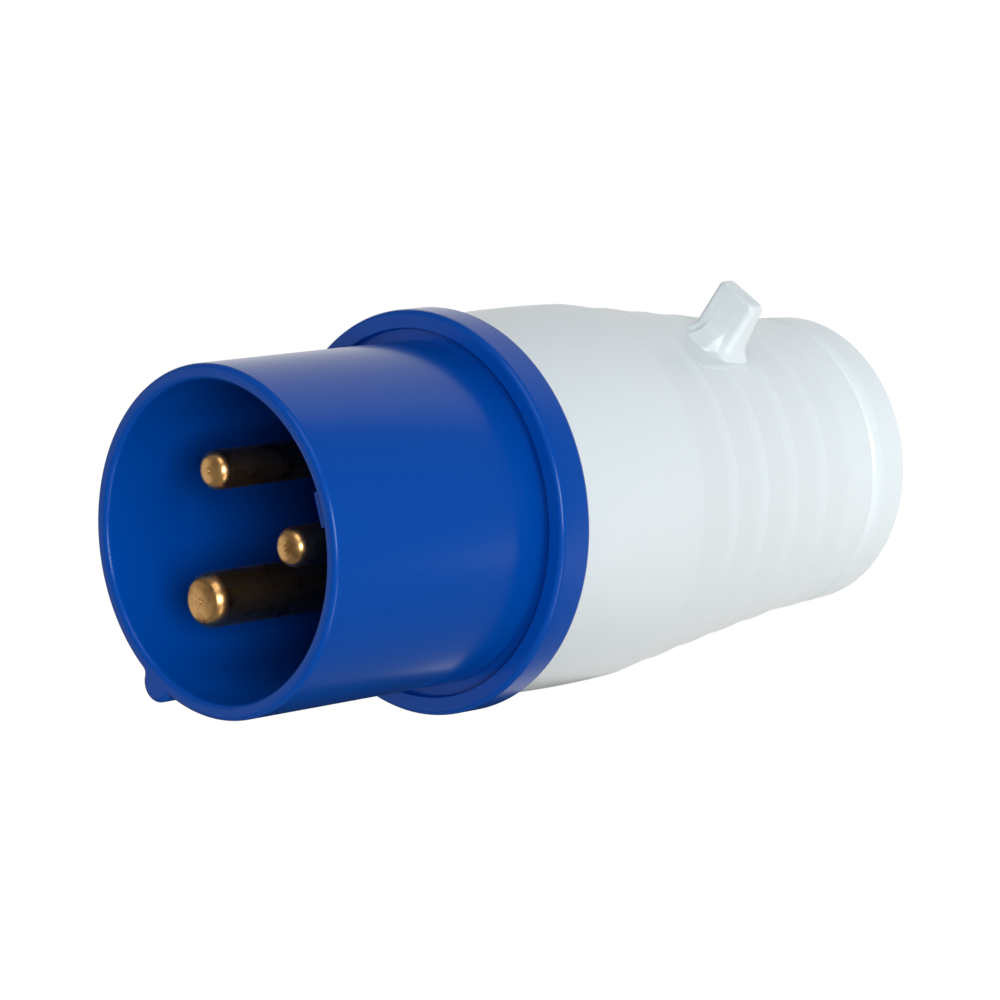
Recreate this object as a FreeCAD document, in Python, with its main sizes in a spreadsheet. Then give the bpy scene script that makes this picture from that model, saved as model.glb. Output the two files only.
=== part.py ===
"""Industrial pin and sleeve plug, 16 A, two poles and earth, as a parametric document.

The plug stands on its cable end: the plug's axis is +Z, the origin is the centre of the rear face of
the gland nut, and the sleeve's mouth is at the top. The key and the earth pin lie towards -Y, and the
nose that a socket's lid hooks over stands towards +Y. All sizes are in millimetres.
"""
import FreeCAD, Part
import collections
import os
import re
import Sketcher

doc = FreeCAD.newDocument("pin_and_sleeve_plug")
V = FreeCAD.Vector
Z_AXIS = V(0, 0, 1)

# Driving dimensions: alias, value, what it measures
SIZES = [
    # Lengths along the axis, from the rear face to the mouth
    ("nut_length", 11.0, "gland nut, rear face to front edge"),
    ("nut_gap", 0.3, "open line between the nut and the housing's shoulder"),
    ("housing_length", 61.3, "housing, shoulder to front face"),
    ("collar_length", 5.2, "collar of the front sleeve"),
    ("sleeve_length", 34.5, "sleeve in front of the collar"),
    ("floor_depth", 37.0, "mouth to the face that the pins stand on"),
    # Front sleeve
    ("sleeve_radius", 22.0, "outside of the sleeve"),
    ("sleeve_wall", 2.0, "wall at the mouth"),
    ("sleeve_draft", 0.4, "how much narrower the sleeve is inside, at its floor"),
    ("rim_round", 0.7, "rounding of the mouth's edges"),
    ("collar_overhang", 4.0, "how far the collar stands out of the sleeve"),
    ("collar_round", 0.7, "rounding of the collar's edges"),
    ("recess_width", 1.6, "groove in the collar round the sleeve's foot"),
    ("recess_depth", 1.0, "depth of that groove"),
    ("key_width", 5.0, "key rib along the sleeve"),
    ("key_height", 2.3, "how far the key stands out of the sleeve"),
    ("key_foot_round", 0.7, "rounding between key and sleeve"),
    ("guide_angle", 48.0, "clock angle of the small rib inside the sleeve"),
    ("guide_width", 4.4, "width of that rib"),
    ("guide_height", 0.7, "how far it stands in from the wall"),
    ("guide_setback", 0.8, "its end, behind the mouth"),
    ("carrier_thickness", 9.0, "wall that carries the pins"),
    ("spigot_radius", 21.6, "tube of the front sleeve that enters the housing"),
    ("spigot_wall", 2.5, "wall of that tube"),
    ("spigot_length", 12.0, "its length behind the collar"),
    # Pins
    ("pin_circle_radius", 9.3, "axis of the plug to the axis of each pin"),
    ("pole_angle", 120.0, "earth pin to each pole pin, round the axis"),
    ("pole_pin_radius", 2.5, "pole pins"),
    ("earth_pin_radius", 3.5, "earth pin"),
    ("pole_tip_depth", 3.4, "mouth to the tips of the pole pins"),
    ("earth_tip_depth", 1.95, "mouth to the tip of the earth pin"),
    ("pole_tip_length", 1.15, "length over which a pole pin narrows to its tip"),
    ("earth_tip_length", 1.65, "the same on the earth pin"),
    ("pin_tip_fall", 0.85, "how much narrower a pin is at its front face"),
    ("pin_tip_dome", 0.25, "how far that face bulges"),
    ("pip_radius", 0.4, "pip that turning leaves on each tip"),
    ("pip_height", 0.15, "height of that pip"),
    ("pip_taper", 0.08, "how much narrower the pip is at its top"),
    ("root_overhang", 0.3, "how far a pin's root in the carrier stands out of the pin"),
    ("pin_hole_clearance", 0.05, "gap round that root in its hole"),
    ("flange_overhang", 2.0, "how far a pin's flange stands out of the pin"),
    ("flange_thickness", 2.0, "thickness of the flange"),
    ("flange_clearance", 0.15, "gap round a flange in its pocket"),
    ("barrel_overhang", 1.3, "how far a pin's terminal barrel stands out of the pin"),
    ("earth_barrel_overhang", 0.8, "the same on the earth pin"),
    ("barrel_length", 18.0, "terminal barrel behind the flange"),
    ("barrel_clearance", 0.15, "gap round a barrel in the retainer"),
    ("wire_hole_radius", 2.1, "hole for the wire"),
    ("wire_hole_depth", 12.0, "depth of that hole"),
    ("barrel_chamfer", 0.4, "chamfer of the barrel's open end"),
    # Terminal screws and wire guards
    ("terminal_screw_radius", 2.0, "thread of a terminal screw"),
    ("terminal_screw_place", 6.5, "barrel's open end to the screw's axis"),
    ("screw_fit", 0.02, "gap between a screw's shank and its hole"),
    ("screw_hole_spare", 0.5, "blind screw hole past its screw's end"),
    ("terminal_head_radius", 3.0, "head of a terminal screw"),
    ("terminal_head_height", 2.2, "height of that head"),
    ("terminal_head_gap", 0.9, "barrel to the underside of the head"),
    ("slot_width", 0.9, "screwdriver slot"),
    ("slot_depth", 1.1, "depth of that slot"),
    ("head_chamfer", 0.3, "chamfer round a screw's head"),
    ("guard_thickness", 0.4, "leaf between screw and wire"),
    ("guard_width", 2.2, "width of the leaf"),
    ("guard_offset", 1.6, "pin's axis to the outside of the leaf"),
    ("guard_length", 9.5, "length of the leaf inside its hole"),
    ("guard_lip", 1.6, "lip of the leaf over the barrel's end"),
    ("guard_seat", 0.05, "gap between leaf and screw, and between lip and barrel"),
    # Pin retainer with its cord cradle
    ("retainer_thickness", 3.5, "plate that holds the pins in"),
    ("retainer_clearance", 0.2, "gap round the plate in the spigot"),
    ("arm_outer_radius", 17.0, "outside of the two arms that carry the cradle"),
    ("arm_half_width", 4.0, "half the width of each arm"),
    ("cradle_length", 8.0, "cradle along the cord"),
    ("cradle_reach", 33.0, "retainer plate to the cradle's far end"),
    ("cradle_root", 1.9, "how deep each end of the cradle stands in its arm"),
    ("cradle_bottom", 8.0, "axis to the cradle's outer side"),
    ("cradle_top", 1.2, "axis to the face that the saddle closes on"),
    ("cord_groove_radius", 5.2, "groove for the cord, in the cradle and the saddle"),
    ("saddle_half_span", 12.3, "axis to each end of the saddle"),
    ("saddle_side_gap", 0.3, "gap between each end of the saddle and the arm beside it"),
    ("saddle_top", 7.6, "axis to the outer side of the saddle"),
    ("saddle_crown", 1.2, "how far the saddle bows out over the cord"),
    ("saddle_ledge", 0.6, "edge of the groove to the foot of the saddle's bow"),
    ("clamp_screw_inset", 3.1, "end of the saddle to the clamp screw beside it"),
    ("clamp_screw_radius", 1.6, "thread of a clamp screw"),
    ("clamp_screw_hole", 1.75, "hole for it in the saddle"),
    ("clamp_screw_length", 12.0, "shank of a clamp screw"),
    ("pilot_floor", 1.0, "wall left under a clamp screw's pilot hole"),
    ("clamp_head_radius", 2.9, "head of a clamp screw"),
    ("clamp_head_height", 1.9, "height of that head"),
    ("retainer_screw_radius", 1.75, "thread of the screw that holds the retainer"),
    ("retainer_screw_length", 9.5, "its shank"),
    ("retainer_head_radius", 3.2, "its head"),
    ("retainer_head_height", 2.1, "height of that head"),
    # Rear housing
    ("housing_front_radius", 24.45, "housing at its front face"),
    ("housing_belly_radius", 24.92, "widest place of the housing"),
    ("housing_belly_place", 13.5, "front face to the widest place"),
    ("taper_start", 22.5, "front face to the edge where the taper starts"),
    ("taper_start_radius", 24.72, "radius of that edge"),
    ("taper_sag", 0.19, "how far the taper is hollow"),
    ("grip_first", 29.6, "front face to the first grip ring"),
    ("grip_last", 4.1, "shoulder to the last grip ring"),
    ("grip_step", 0.2, "how far the taper steps out at each ring"),
    ("grip_rise", 1.2, "front edge of a ring to its place"),
    ("grip_fall", 0.6, "rear edge of a ring to its place"),
    ("grip_end_radius", 20.1, "housing at its last ring"),
    ("housing_rear_radius", 20.0, "housing at its shoulder"),
    ("spigot_clearance", 0.1, "gap between the spigot and the housing's bore"),
    ("bore_extra", 0.5, "bore past the spigot's end"),
    ("cavity_radius", 21.4, "inside of the housing behind the bore"),
    ("cavity_rear_radius", 17.4, "inside of the housing in front of its rear wall"),
    ("seal_rebate_radius", 23.2, "rebate for the front seal"),
    ("seal_thickness", 1.2, "front seal, and the depth of its rebate"),
    ("seal_clearance", 0.1, "gap round the seal"),
    # Lid nose
    ("nose_height", 8.0, "nose above the housing"),
    ("nose_rear_place", 40.9, "front face to the nose's rear face"),
    ("nose_foot_thickness", 3.6, "nose along the axis, at its foot"),
    ("nose_top_thickness", 1.9, "nose along the axis, at its top"),
    ("nose_width", 7.0, "width of the nose"),
    ("nose_corner_round", 0.9, "rounding of the nose's edges"),
    ("buttress_width", 3.2, "width of the rib in front of the nose"),
    ("buttress_start", 2.5, "nose's rear face to the place where that rib leaves the nose"),
    ("buttress_reach", 3.5, "how far the rib runs forward from there"),
    ("buttress_drop", 4.5, "top of the nose to the top of the rib"),
    ("nose_root", 1.0, "how deep nose, rib and pad stand in the housing's wall"),
    ("nose_pad_angle", 27.4, "raised pad under the nose, round the axis"),
    ("nose_pad_front", 30.7, "front face to the pad's front edge"),
    ("nose_pad_length", 10.6, "length of the pad"),
    ("nose_pad_height", 0.12, "pad above the housing"),
    # Cable gland
    ("stub_length", 6.8, "threaded stub behind the shoulder"),
    ("stub_radius", 16.5, "thread of the stub, and of the nut"),
    ("thread_clearance", 0.08, "gap between the stub's and the nut's threads"),
    ("stub_edge", 0.6, "chamfer of the stub's end"),
    ("gland_bore_radius", 13.0, "bore that holds the grommet"),
    ("gland_wall_front", 5.0, "shoulder to the rear side of the gland's wall"),
    ("gland_wall", 3.0, "that wall"),
    ("gland_hole_radius", 7.0, "hole for the cord in that wall"),
    ("grommet_clearance", 0.1, "gap round the grommet"),
    ("cord_entry_radius", 5.0, "bore of the grommet"),
    ("grommet_edge", 1.0, "chamfer of the grommet's rear end"),
    ("washer_thickness", 1.2, "thrust washer"),
    ("washer_hole_radius", 7.2, "hole in the thrust washer"),
    ("washer_gap", 0.25, "washer to the stub and the grommet"),
    ("washer_slip", 0.05, "washer to the nut's wall"),
    ("nut_radius", 19.95, "outside of the nut at its front edge"),
    ("nut_rear_radius", 19.6, "outside of the nut where its rear bevel starts"),
    ("nut_foot_radius", 15.7, "rear face of the nut, which the plug stands on"),
    ("nut_bevel_length", 4.6, "length of that bevel along the axis"),
    ("nut_bevel_round", 0.5, "rounding of the bevel's two edges"),
    ("nut_front_round", 0.5, "rounding of the nut's front edge"),
    ("nut_hole_radius", 7.5, "hole for the cord in the nut"),
    ("nut_hole_round", 0.8, "rounding of that hole's edge"),
    # Tools
    ("cut_overshoot", 1.0, "how far a cut runs past the face that it opens"),
]

GRIP_RINGS = 5
# Where the dome of a pin's tip is measured between its edge and its middle, as a share of the face
DOME_PLACE = 0.5
# Where the rounded side of a pin's tip passes, as shares of its fall and of its length
TIP_SIDE_OUT = 0.685
TIP_SIDE_DOWN = 0.44
# Where the hollow front of the nose's rib passes, as shares of its reach and of its height
RIB_HOLLOW_ALONG = 0.36
RIB_HOLLOW_UP = 0.45
# How near an edge has to lie to the place where it is looked for, in millimetres
NEAR = 0.005

# Clock angle from +X as a formula, and the sizes that differ from pin to pin
Pin = collections.namedtuple("Pin", "name angle radius tip_depth tip_length barrel_overhang")
PINS = [
    Pin("earth", "-90", "earth_pin_radius", "earth_tip_depth", "earth_tip_length",
        "earth_barrel_overhang"),
    Pin("line", "(pole_angle - 90)", "pole_pin_radius", "pole_tip_depth", "pole_tip_length",
        "barrel_overhang"),
    Pin("neutral", "(-90 - pole_angle)", "pole_pin_radius", "pole_tip_depth", "pole_tip_length",
        "barrel_overhang"),
]

sheet = doc.addObject("Spreadsheet::Sheet", "Sizes")
for row, (alias, value, note) in enumerate(SIZES, start=1):
    sheet.set("A%d" % row, alias)
    sheet.set("B%d" % row, str(value))
    sheet.set("C%d" % row, note)
    sheet.setAlias("B%d" % row, alias)
doc.recompute()

ALIASES = re.compile(r"\b(" + "|".join(entry[0] for entry in SIZES) + r")\b")


def bound(formula):
    """The formula as the document reads it, with every alias taken from the sheet."""
    return ALIASES.sub(r"Sizes.\1", formula)


def number(formula):
    """What the formula comes to with the sheet's present values."""
    return float(sheet.evalExpression(bound(formula)))


def tie(thing, prop, formula):
    thing.setExpression(prop, bound(formula))


# Heights that several pieces share, as formulas on the sheet
SHOULDER = "(nut_length + nut_gap)"
COLLAR_REAR = "(%s + housing_length)" % SHOULDER
COLLAR_FRONT = "(%s + collar_length)" % COLLAR_REAR
MOUTH = "(%s + sleeve_length)" % COLLAR_FRONT
FLOOR = "(%s - floor_depth)" % MOUTH
CARRIER_REAR = "(%s - carrier_thickness)" % FLOOR
SPIGOT_REAR = "(%s - spigot_length)" % COLLAR_REAR
RETAINER_REAR = "(%s - retainer_thickness)" % CARRIER_REAR
BARREL_REAR = "(%s - barrel_length)" % CARRIER_REAR
CRADLE_REAR = "(%s - cradle_reach)" % RETAINER_REAR
STUB_REAR = "(%s - stub_length)" % SHOULDER
WASHER_FRONT = "(%s - washer_gap)" % STUB_REAR
WASHER_REAR = "(%s - washer_thickness)" % WASHER_FRONT
NUT_WALL = "(%s - washer_slip)" % WASHER_REAR
GLAND_WALL_REAR = "(%s + gland_wall_front)" % SHOULDER
GLAND_WALL_FRONT = "(%s + gland_wall)" % GLAND_WALL_REAR
SPIGOT_INSIDE = "(spigot_radius - spigot_wall)"
SLEEVE_INSIDE = "(sleeve_radius - sleeve_wall)"
COLLAR_RADIUS = "(sleeve_radius + collar_overhang)"
ARM_INSIDE = "(saddle_half_span + saddle_side_gap)"
CRADLE_HALF_SPAN = "(%s + cradle_root)" % ARM_INSIDE
CLAMP_SCREW_PLACE = "(saddle_half_span - clamp_screw_inset)"
GRIP_PITCH = "((housing_length - grip_first - grip_last) / %d)" % (GRIP_RINGS - 1)


def new_body(label):
    body = doc.addObject("PartDesign::Body", label)
    body.Label = label
    return body


def plane_of(body, role):
    return next(item for item in body.Origin.OriginFeatures if item.Role == role)


def new_sketch(body, name, role, shift="0"):
    """An empty sketch on one of the body's origin planes, moved along its normal by a formula."""
    sketch = body.newObject("Sketcher::SketchObject", name)
    sketch.AttachmentSupport = (plane_of(body, role), [""])
    sketch.MapMode = "FlatFace"
    if shift != "0":
        tie(sketch, "AttachmentOffset.Base.z", shift)
    return sketch


def pin_point(sketch, side, end, across, along):
    """Ties one end of a side to a place in the sketch, each way by a formula."""
    for kind, axis, formula in (("DistanceX", -2, across), ("DistanceY", -1, along)):
        if formula == "0":
            sketch.addConstraint(Sketcher.Constraint("PointOnObject", side, end, axis))
            continue
        place = Sketcher.Constraint(kind, -1, 1, side, end, number(formula))
        index = sketch.addConstraint(place)
        tie(sketch, "Constraints[%d]" % index, formula)


def outline(sketch, corners):
    """A closed line through the corners. A corner is (across, along) in formulas, and one with two
    more formulas is reached by an arc that passes through the place they give."""
    points = [V(number(c[0]), number(c[1]), 0) for c in corners]
    ends = []
    for index, corner in enumerate(corners):
        start = points[index - 1]
        stop = points[index]
        if len(corner) == 2:
            side = sketch.addGeometry(Part.LineSegment(start, stop), False)
            ends.append((side, 1, 2))
            continue
        middle = V(number(corner[2]), number(corner[3]), 0)
        anticlockwise = (middle - start).cross(stop - middle).z > 0
        arc = Part.Arc(start, middle, stop) if anticlockwise else Part.Arc(stop, middle, start)
        side = sketch.addGeometry(arc, False)
        ends.append((side, 1, 2) if anticlockwise else (side, 2, 1))
        knot = sketch.addGeometry(Part.Point(middle), True)
        sketch.addConstraint(Sketcher.Constraint("PointOnObject", knot, 1, side))
        pin_point(sketch, knot, 1, corner[2], corner[3])
    for index, corner in enumerate(corners):
        here = ends[index]
        after = ends[(index + 1) % len(corners)]
        sketch.addConstraint(Sketcher.Constraint("Coincident", here[0], here[2], after[0], after[1]))
        pin_point(sketch, here[0], here[2], corner[0], corner[1])
    return sketch


def round_hole(sketch, across, along, radius):
    """A circle whose centre and radius are formulas."""
    centre = V(number(across), number(along), 0)
    ring = sketch.addGeometry(Part.Circle(centre, Z_AXIS, number(radius)), False)
    pin_point(sketch, ring, 3, across, along)
    index = sketch.addConstraint(Sketcher.Constraint("Radius", ring, number(radius)))
    tie(sketch, "Constraints[%d]" % index, radius)
    return sketch


def turned(body, name, corners):
    """A body of revolution about Z from an outline of (radius, height) corners."""
    sketch = outline(new_sketch(body, name + "_section", "XZ_Plane"), corners)
    feature = body.newObject("PartDesign::Revolution", name)
    feature.Profile = sketch
    feature.ReferenceAxis = (sketch, ["V_Axis"])
    feature.Angle = 360
    doc.recompute()
    return feature


def pad(body, name, sketch, length, backwards=False, both_ways=False):
    feature = body.newObject("PartDesign::Pad", name)
    feature.Profile = sketch
    feature.Reversed = backwards
    feature.Midplane = both_ways
    tie(feature, "Length", length)
    doc.recompute()
    return feature


def pocket(body, name, sketch, length, backwards=False, both_ways=False):
    """Cuts the sketch out of the body, and stops if that took nothing away."""
    before = body.Tip.Shape.Volume
    feature = body.newObject("PartDesign::Pocket", name)
    feature.Profile = sketch
    feature.Reversed = backwards
    feature.Midplane = both_ways
    tie(feature, "Length", length)
    doc.recompute()
    if feature.Shape.Volume >= before:
        raise RuntimeError("%s cuts nothing" % name)
    return feature


def dress(body, name, kind, edges, size):
    """A fillet or a chamfer on the named edges of the body's last feature."""
    base = body.Tip
    feature = body.newObject("PartDesign::" + kind, name)
    feature.Base = (base, edges)
    tie(feature, "Radius" if kind == "Fillet" else "Size", size)
    doc.recompute()
    return feature


def edges_where(body, test):
    shape = body.Tip.Shape
    found = ["Edge%d" % (index + 1) for index, edge in enumerate(shape.Edges) if test(edge)]
    if not found:
        raise RuntimeError("no edge found on " + body.Label)
    return found


def rings_at(radius, height):
    """Tests for a round edge about Z with this radius at this height, both formulas."""
    wide = number(radius)
    high = number(height)

    def test(edge):
        if edge.Curve.TypeId != "Part::GeomCircle":
            return False
        curve = edge.Curve
        on_axis = abs(curve.Center.x) < NEAR and abs(curve.Center.y) < NEAR
        return on_axis and abs(curve.Radius - wide) < NEAR and abs(curve.Center.z - high) < NEAR
    return test


def level_at(height):
    """Tests for an edge that lies flat at this height."""
    high = number(height)

    def test(edge):
        box = edge.BoundBox
        return abs(box.ZMin - high) < NEAR and abs(box.ZMax - high) < NEAR
    return test


def front_sleeve():
    """Blue moulding: the sleeve with its key, the collar, the wall that carries the pins, and the
    spigot that enters the housing."""
    body = new_body("front_sleeve")
    recess_edge = "(sleeve_radius + recess_width)"
    recess_floor = "(%s - recess_depth)" % COLLAR_FRONT
    turned(body, "sleeve_and_collar", [
        ("0", CARRIER_REAR),
        (SPIGOT_INSIDE, CARRIER_REAR),
        (SPIGOT_INSIDE, SPIGOT_REAR),
        ("spigot_radius", SPIGOT_REAR),
        ("spigot_radius", COLLAR_REAR),
        (COLLAR_RADIUS, COLLAR_REAR),
        (COLLAR_RADIUS, COLLAR_FRONT),
        (recess_edge, COLLAR_FRONT),
        (recess_edge, recess_floor),
        ("sleeve_radius", recess_floor),
        ("sleeve_radius", MOUTH),
        (SLEEVE_INSIDE, MOUTH),
        (SLEEVE_INSIDE + " - sleeve_draft", FLOOR),
        ("0", FLOOR),
    ])
    key_side = "(key_width / 2)"
    key_tip = "(sleeve_radius + key_height)"
    key_root = "(sleeve_radius - sleeve_wall / 2)"
    key_turn = "(%s - %s)" % (key_tip, key_side)
    key = outline(new_sketch(body, "key_outline", "XY_Plane", recess_floor), [
        ("-%s" % key_side, "-%s" % key_turn),
        (key_side, "-%s" % key_turn, "0", "-%s" % key_tip),
        (key_side, "-%s" % key_root),
        ("-%s" % key_side, "-%s" % key_root),
    ])
    pad(body, "key", key, "sleeve_length + recess_depth")
    reach = number("sleeve_radius")

    def key_foot(edge):
        box = edge.BoundBox
        upright = box.ZLength > number("sleeve_length") / 2 and box.XLength < NEAR
        radius = (box.XMin ** 2 + box.YMin ** 2) ** 0.5
        return upright and box.YMin < 0 and abs(radius - reach) < NEAR

    dress(body, "key_foot", "Fillet", edges_where(body, key_foot), "key_foot_round")
    guide = new_sketch(body, "guide_outline", "XY_Plane", FLOOR)
    tie(guide, "AttachmentOffset.Rotation.Angle", "guide_angle")
    guide_side = "(guide_width / 2)"
    guide_face = "(%s - sleeve_draft - guide_height)" % SLEEVE_INSIDE
    guide_root = "(%s + sleeve_wall / 3)" % SLEEVE_INSIDE
    outline(guide, [
        (guide_face, "-%s" % guide_side),
        (guide_root, "-%s" % guide_side),
        (guide_root, guide_side),
        (guide_face, guide_side),
    ])
    pad(body, "guide_rib", guide, "floor_depth - guide_setback")
    dress(body, "mouth_edges", "Fillet", edges_where(body, level_at(MOUTH)), "rim_round")
    dress(body, "collar_edges", "Fillet",
          edges_where(body, rings_at(COLLAR_RADIUS, COLLAR_FRONT))
          + edges_where(body, rings_at(COLLAR_RADIUS, COLLAR_REAR)), "collar_round")
    holes = new_sketch(body, "pin_holes", "XY_Plane", CARRIER_REAR)
    pockets = new_sketch(body, "flange_pockets", "XY_Plane", CARRIER_REAR)
    for pin in PINS:
        across = "pin_circle_radius * cos(%s)" % pin.angle
        along = "pin_circle_radius * sin(%s)" % pin.angle
        round_hole(holes, across, along, pin.radius + " + root_overhang + pin_hole_clearance")
        round_hole(pockets, across, along, pin.radius + " + flange_overhang + flange_clearance")
    pocket(body, "pin_hole_cut", holes, "carrier_thickness", backwards=True)
    pocket(body, "flange_pocket_cut", pockets, "flange_thickness", backwards=True)
    pilot = new_sketch(body, "retainer_screw_hole", "XY_Plane", CARRIER_REAR)
    round_hole(pilot, "0", "0", "retainer_screw_radius + screw_fit")
    pocket(body, "retainer_screw_cut", pilot,
           "retainer_screw_length - retainer_thickness + screw_hole_spare", backwards=True)
    return body


def place_round_axis(body, angle, radius, height, tilt=None):
    """Sets a body at a clock angle: its own X axis points outwards, and its Z axis is the plug's
    unless a tilt turns it first."""
    turn = FreeCAD.Rotation(Z_AXIS, number(angle))
    if tilt is not None:
        turn = turn.multiply(tilt)
    body.Placement = FreeCAD.Placement(V(0, 0, 0), turn)
    tie(body, "Placement.Base.x", "(%s) * cos(%s)" % (radius, angle))
    tie(body, "Placement.Base.y", "(%s) * sin(%s)" % (radius, angle))
    tie(body, "Placement.Base.z", height)


def barrel_radius_of(pin):
    return "(%s + %s)" % (pin.radius, pin.barrel_overhang)


def contact_pin(pin):
    """Turned brass pin: a rounded tip, a thicker root and a flange in the carrier, and a terminal barrel
    with a hole for the wire and a threaded hole for its screw. Its own origin is behind the flange."""
    body = new_body(pin.name + "_pin")
    tip = "(carrier_thickness + floor_depth - %s)" % pin.tip_depth
    barrel = barrel_radius_of(pin)
    crown = "(%s - pin_tip_dome)" % tip
    shoulder = "(%s - %s)" % (crown, pin.tip_length)
    face = "(%s - pin_tip_fall)" % pin.radius
    side_radius = "%s + pin_tip_fall * %s" % (face, TIP_SIDE_OUT)
    side_height = "%s - %s * %s" % (crown, pin.tip_length, TIP_SIDE_DOWN)
    dome_place = "%s * %s" % (face, DOME_PLACE)
    dome_height = "%s - pin_tip_dome * %s" % (tip, DOME_PLACE ** 2)
    turned(body, "pin_and_barrel", [
        ("0", "-barrel_length"),
        (barrel, "-barrel_length"),
        (barrel, "0"),
        (pin.radius + " + flange_overhang", "0"),
        (pin.radius + " + flange_overhang", "flange_thickness"),
        (pin.radius + " + root_overhang", "flange_thickness"),
        (pin.radius + " + root_overhang", "carrier_thickness"),
        (pin.radius, "carrier_thickness"),
        (pin.radius, shoulder),
        (face, crown, side_radius, side_height),
        ("pip_radius", tip, dome_place, dome_height),
        ("pip_radius - pip_taper", tip + " + pip_height"),
        ("0", tip + " + pip_height"),
    ])
    dress(body, "barrel_end", "Chamfer", edges_where(body, rings_at(barrel, "-barrel_length")),
          "barrel_chamfer")
    wire = new_sketch(body, "wire_hole", "XY_Plane", "-barrel_length")
    round_hole(wire, "0", "0", "wire_hole_radius")
    pocket(body, "wire_hole_cut", wire, "wire_hole_depth", backwards=True)
    screw = new_sketch(body, "screw_hole", "YZ_Plane")
    round_hole(screw, "0", "terminal_screw_place - barrel_length",
               "terminal_screw_radius + screw_fit")
    pocket(body, "screw_hole_cut", screw, barrel + " + cut_overshoot", backwards=True)
    place_round_axis(body, pin.angle, "pin_circle_radius", CARRIER_REAR)
    return body


def slotted_screw(label, shank, length, head, height):
    """A screw along its own Z axis, with the underside of its slotted head at its origin."""
    body = new_body(label)
    turned(body, label + "_turning", [
        ("0", "-(%s)" % length),
        ("(%s) - head_chamfer" % shank, "-(%s)" % length),
        (shank, "-(%s) + head_chamfer" % length),
        (shank, "0"),
        (head, "0"),
        (head, "(%s) - head_chamfer" % height),
        ("(%s) - head_chamfer" % head, height),
        ("0", height),
    ])
    slot_end = "(%s + cut_overshoot)" % head
    slot = outline(new_sketch(body, label + "_slot", "XY_Plane", height), [
        ("-" + slot_end, "-slot_width / 2"),
        (slot_end, "-slot_width / 2"),
        (slot_end, "slot_width / 2"),
        ("-" + slot_end, "slot_width / 2"),
    ])
    pocket(body, label + "_slot_cut", slot, "slot_depth")
    return body


def terminal_screw(pin):
    """Clamps the wire in a pin's barrel, from the side that faces away from the plug's axis."""
    barrel = barrel_radius_of(pin)
    shank = "%s + terminal_head_gap - guard_offset - guard_seat" % barrel
    body = slotted_screw(pin.name + "_terminal_screw", "terminal_screw_radius", shank,
                         "terminal_head_radius", "terminal_head_height")
    outwards = FreeCAD.Rotation(V(0, 1, 0), 90)
    place_round_axis(body, pin.angle, "pin_circle_radius + %s + terminal_head_gap" % barrel,
                     "%s + terminal_screw_place" % BARREL_REAR, outwards)
    return body


def wire_guard(pin):
    """Leaf of spring bronze that lies between the terminal screw and the wire, with a lip over the
    barrel's open end."""
    body = new_body(pin.name + "_wire_guard")
    inner = "(guard_offset - guard_thickness)"
    under = "(0 - barrel_length - guard_seat)"
    low = "(0 - barrel_length - guard_seat - guard_thickness)"
    end = "(guard_length - barrel_length)"
    side = outline(new_sketch(body, pin.name + "_guard_side", "XZ_Plane"), [
        (inner, low),
        ("guard_offset + guard_lip", low),
        ("guard_offset + guard_lip", under),
        ("guard_offset", under),
        ("guard_offset", end),
        (inner, end),
    ])
    pad(body, pin.name + "_guard_leaf", side, "guard_width", both_ways=True)
    place_round_axis(body, pin.angle, "pin_circle_radius", CARRIER_REAR)
    return body


def pin_retainer():
    """Moulded plate that holds the pins in the carrier. Two arms behind it carry the cradle that the
    cord is clamped in."""
    body = new_body("pin_retainer")
    plate = round_hole(new_sketch(body, "plate_outline", "XY_Plane", CARRIER_REAR), "0", "0",
                       SPIGOT_INSIDE + " - retainer_clearance")
    pad(body, "plate", plate, "retainer_thickness", backwards=True)
    arms = new_sketch(body, "arm_outlines", "XY_Plane", RETAINER_REAR)
    corner = "sqrt(arm_outer_radius ^ 2 - arm_half_width ^ 2)"
    for sign in ("", "-"):
        outline(arms, [
            (sign + ARM_INSIDE, "-arm_half_width"),
            (sign + corner, "-arm_half_width"),
            (sign + corner, "arm_half_width", sign + "arm_outer_radius", "0"),
            (sign + ARM_INSIDE, "arm_half_width"),
        ])
    pad(body, "arms", arms, "cradle_reach", backwards=True)
    cradle = outline(new_sketch(body, "cradle_outline", "XY_Plane", CRADLE_REAR), [
        ("-" + CRADLE_HALF_SPAN, "-cradle_bottom"),
        (CRADLE_HALF_SPAN, "-cradle_bottom"),
        (CRADLE_HALF_SPAN, "-cradle_top"),
        ("-" + CRADLE_HALF_SPAN, "-cradle_top"),
    ])
    pad(body, "cradle", cradle, "cradle_length")
    groove = round_hole(new_sketch(body, "cradle_groove", "XY_Plane", CRADLE_REAR), "0", "0",
                        "cord_groove_radius")
    pocket(body, "cradle_groove_cut", groove, "cradle_length", backwards=True)
    holes = new_sketch(body, "barrel_holes", "XY_Plane", RETAINER_REAR)
    for pin in PINS:
        round_hole(holes, "pin_circle_radius * cos(%s)" % pin.angle,
                   "pin_circle_radius * sin(%s)" % pin.angle,
                   barrel_radius_of(pin) + " + barrel_clearance")
    round_hole(holes, "0", "0", "retainer_screw_radius + barrel_clearance")
    pocket(body, "barrel_hole_cut", holes, "retainer_thickness", backwards=True)
    pilots = new_sketch(body, "clamp_screw_pilots", "XZ_Plane", "cradle_top")
    for sign in ("", "-"):
        round_hole(pilots, sign + CLAMP_SCREW_PLACE, CRADLE_REAR + " + cradle_length / 2",
                   "clamp_screw_radius + screw_fit")
    pocket(body, "clamp_screw_pilot_cut", pilots, "cradle_bottom - cradle_top - pilot_floor",
           backwards=True)
    return body


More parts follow.
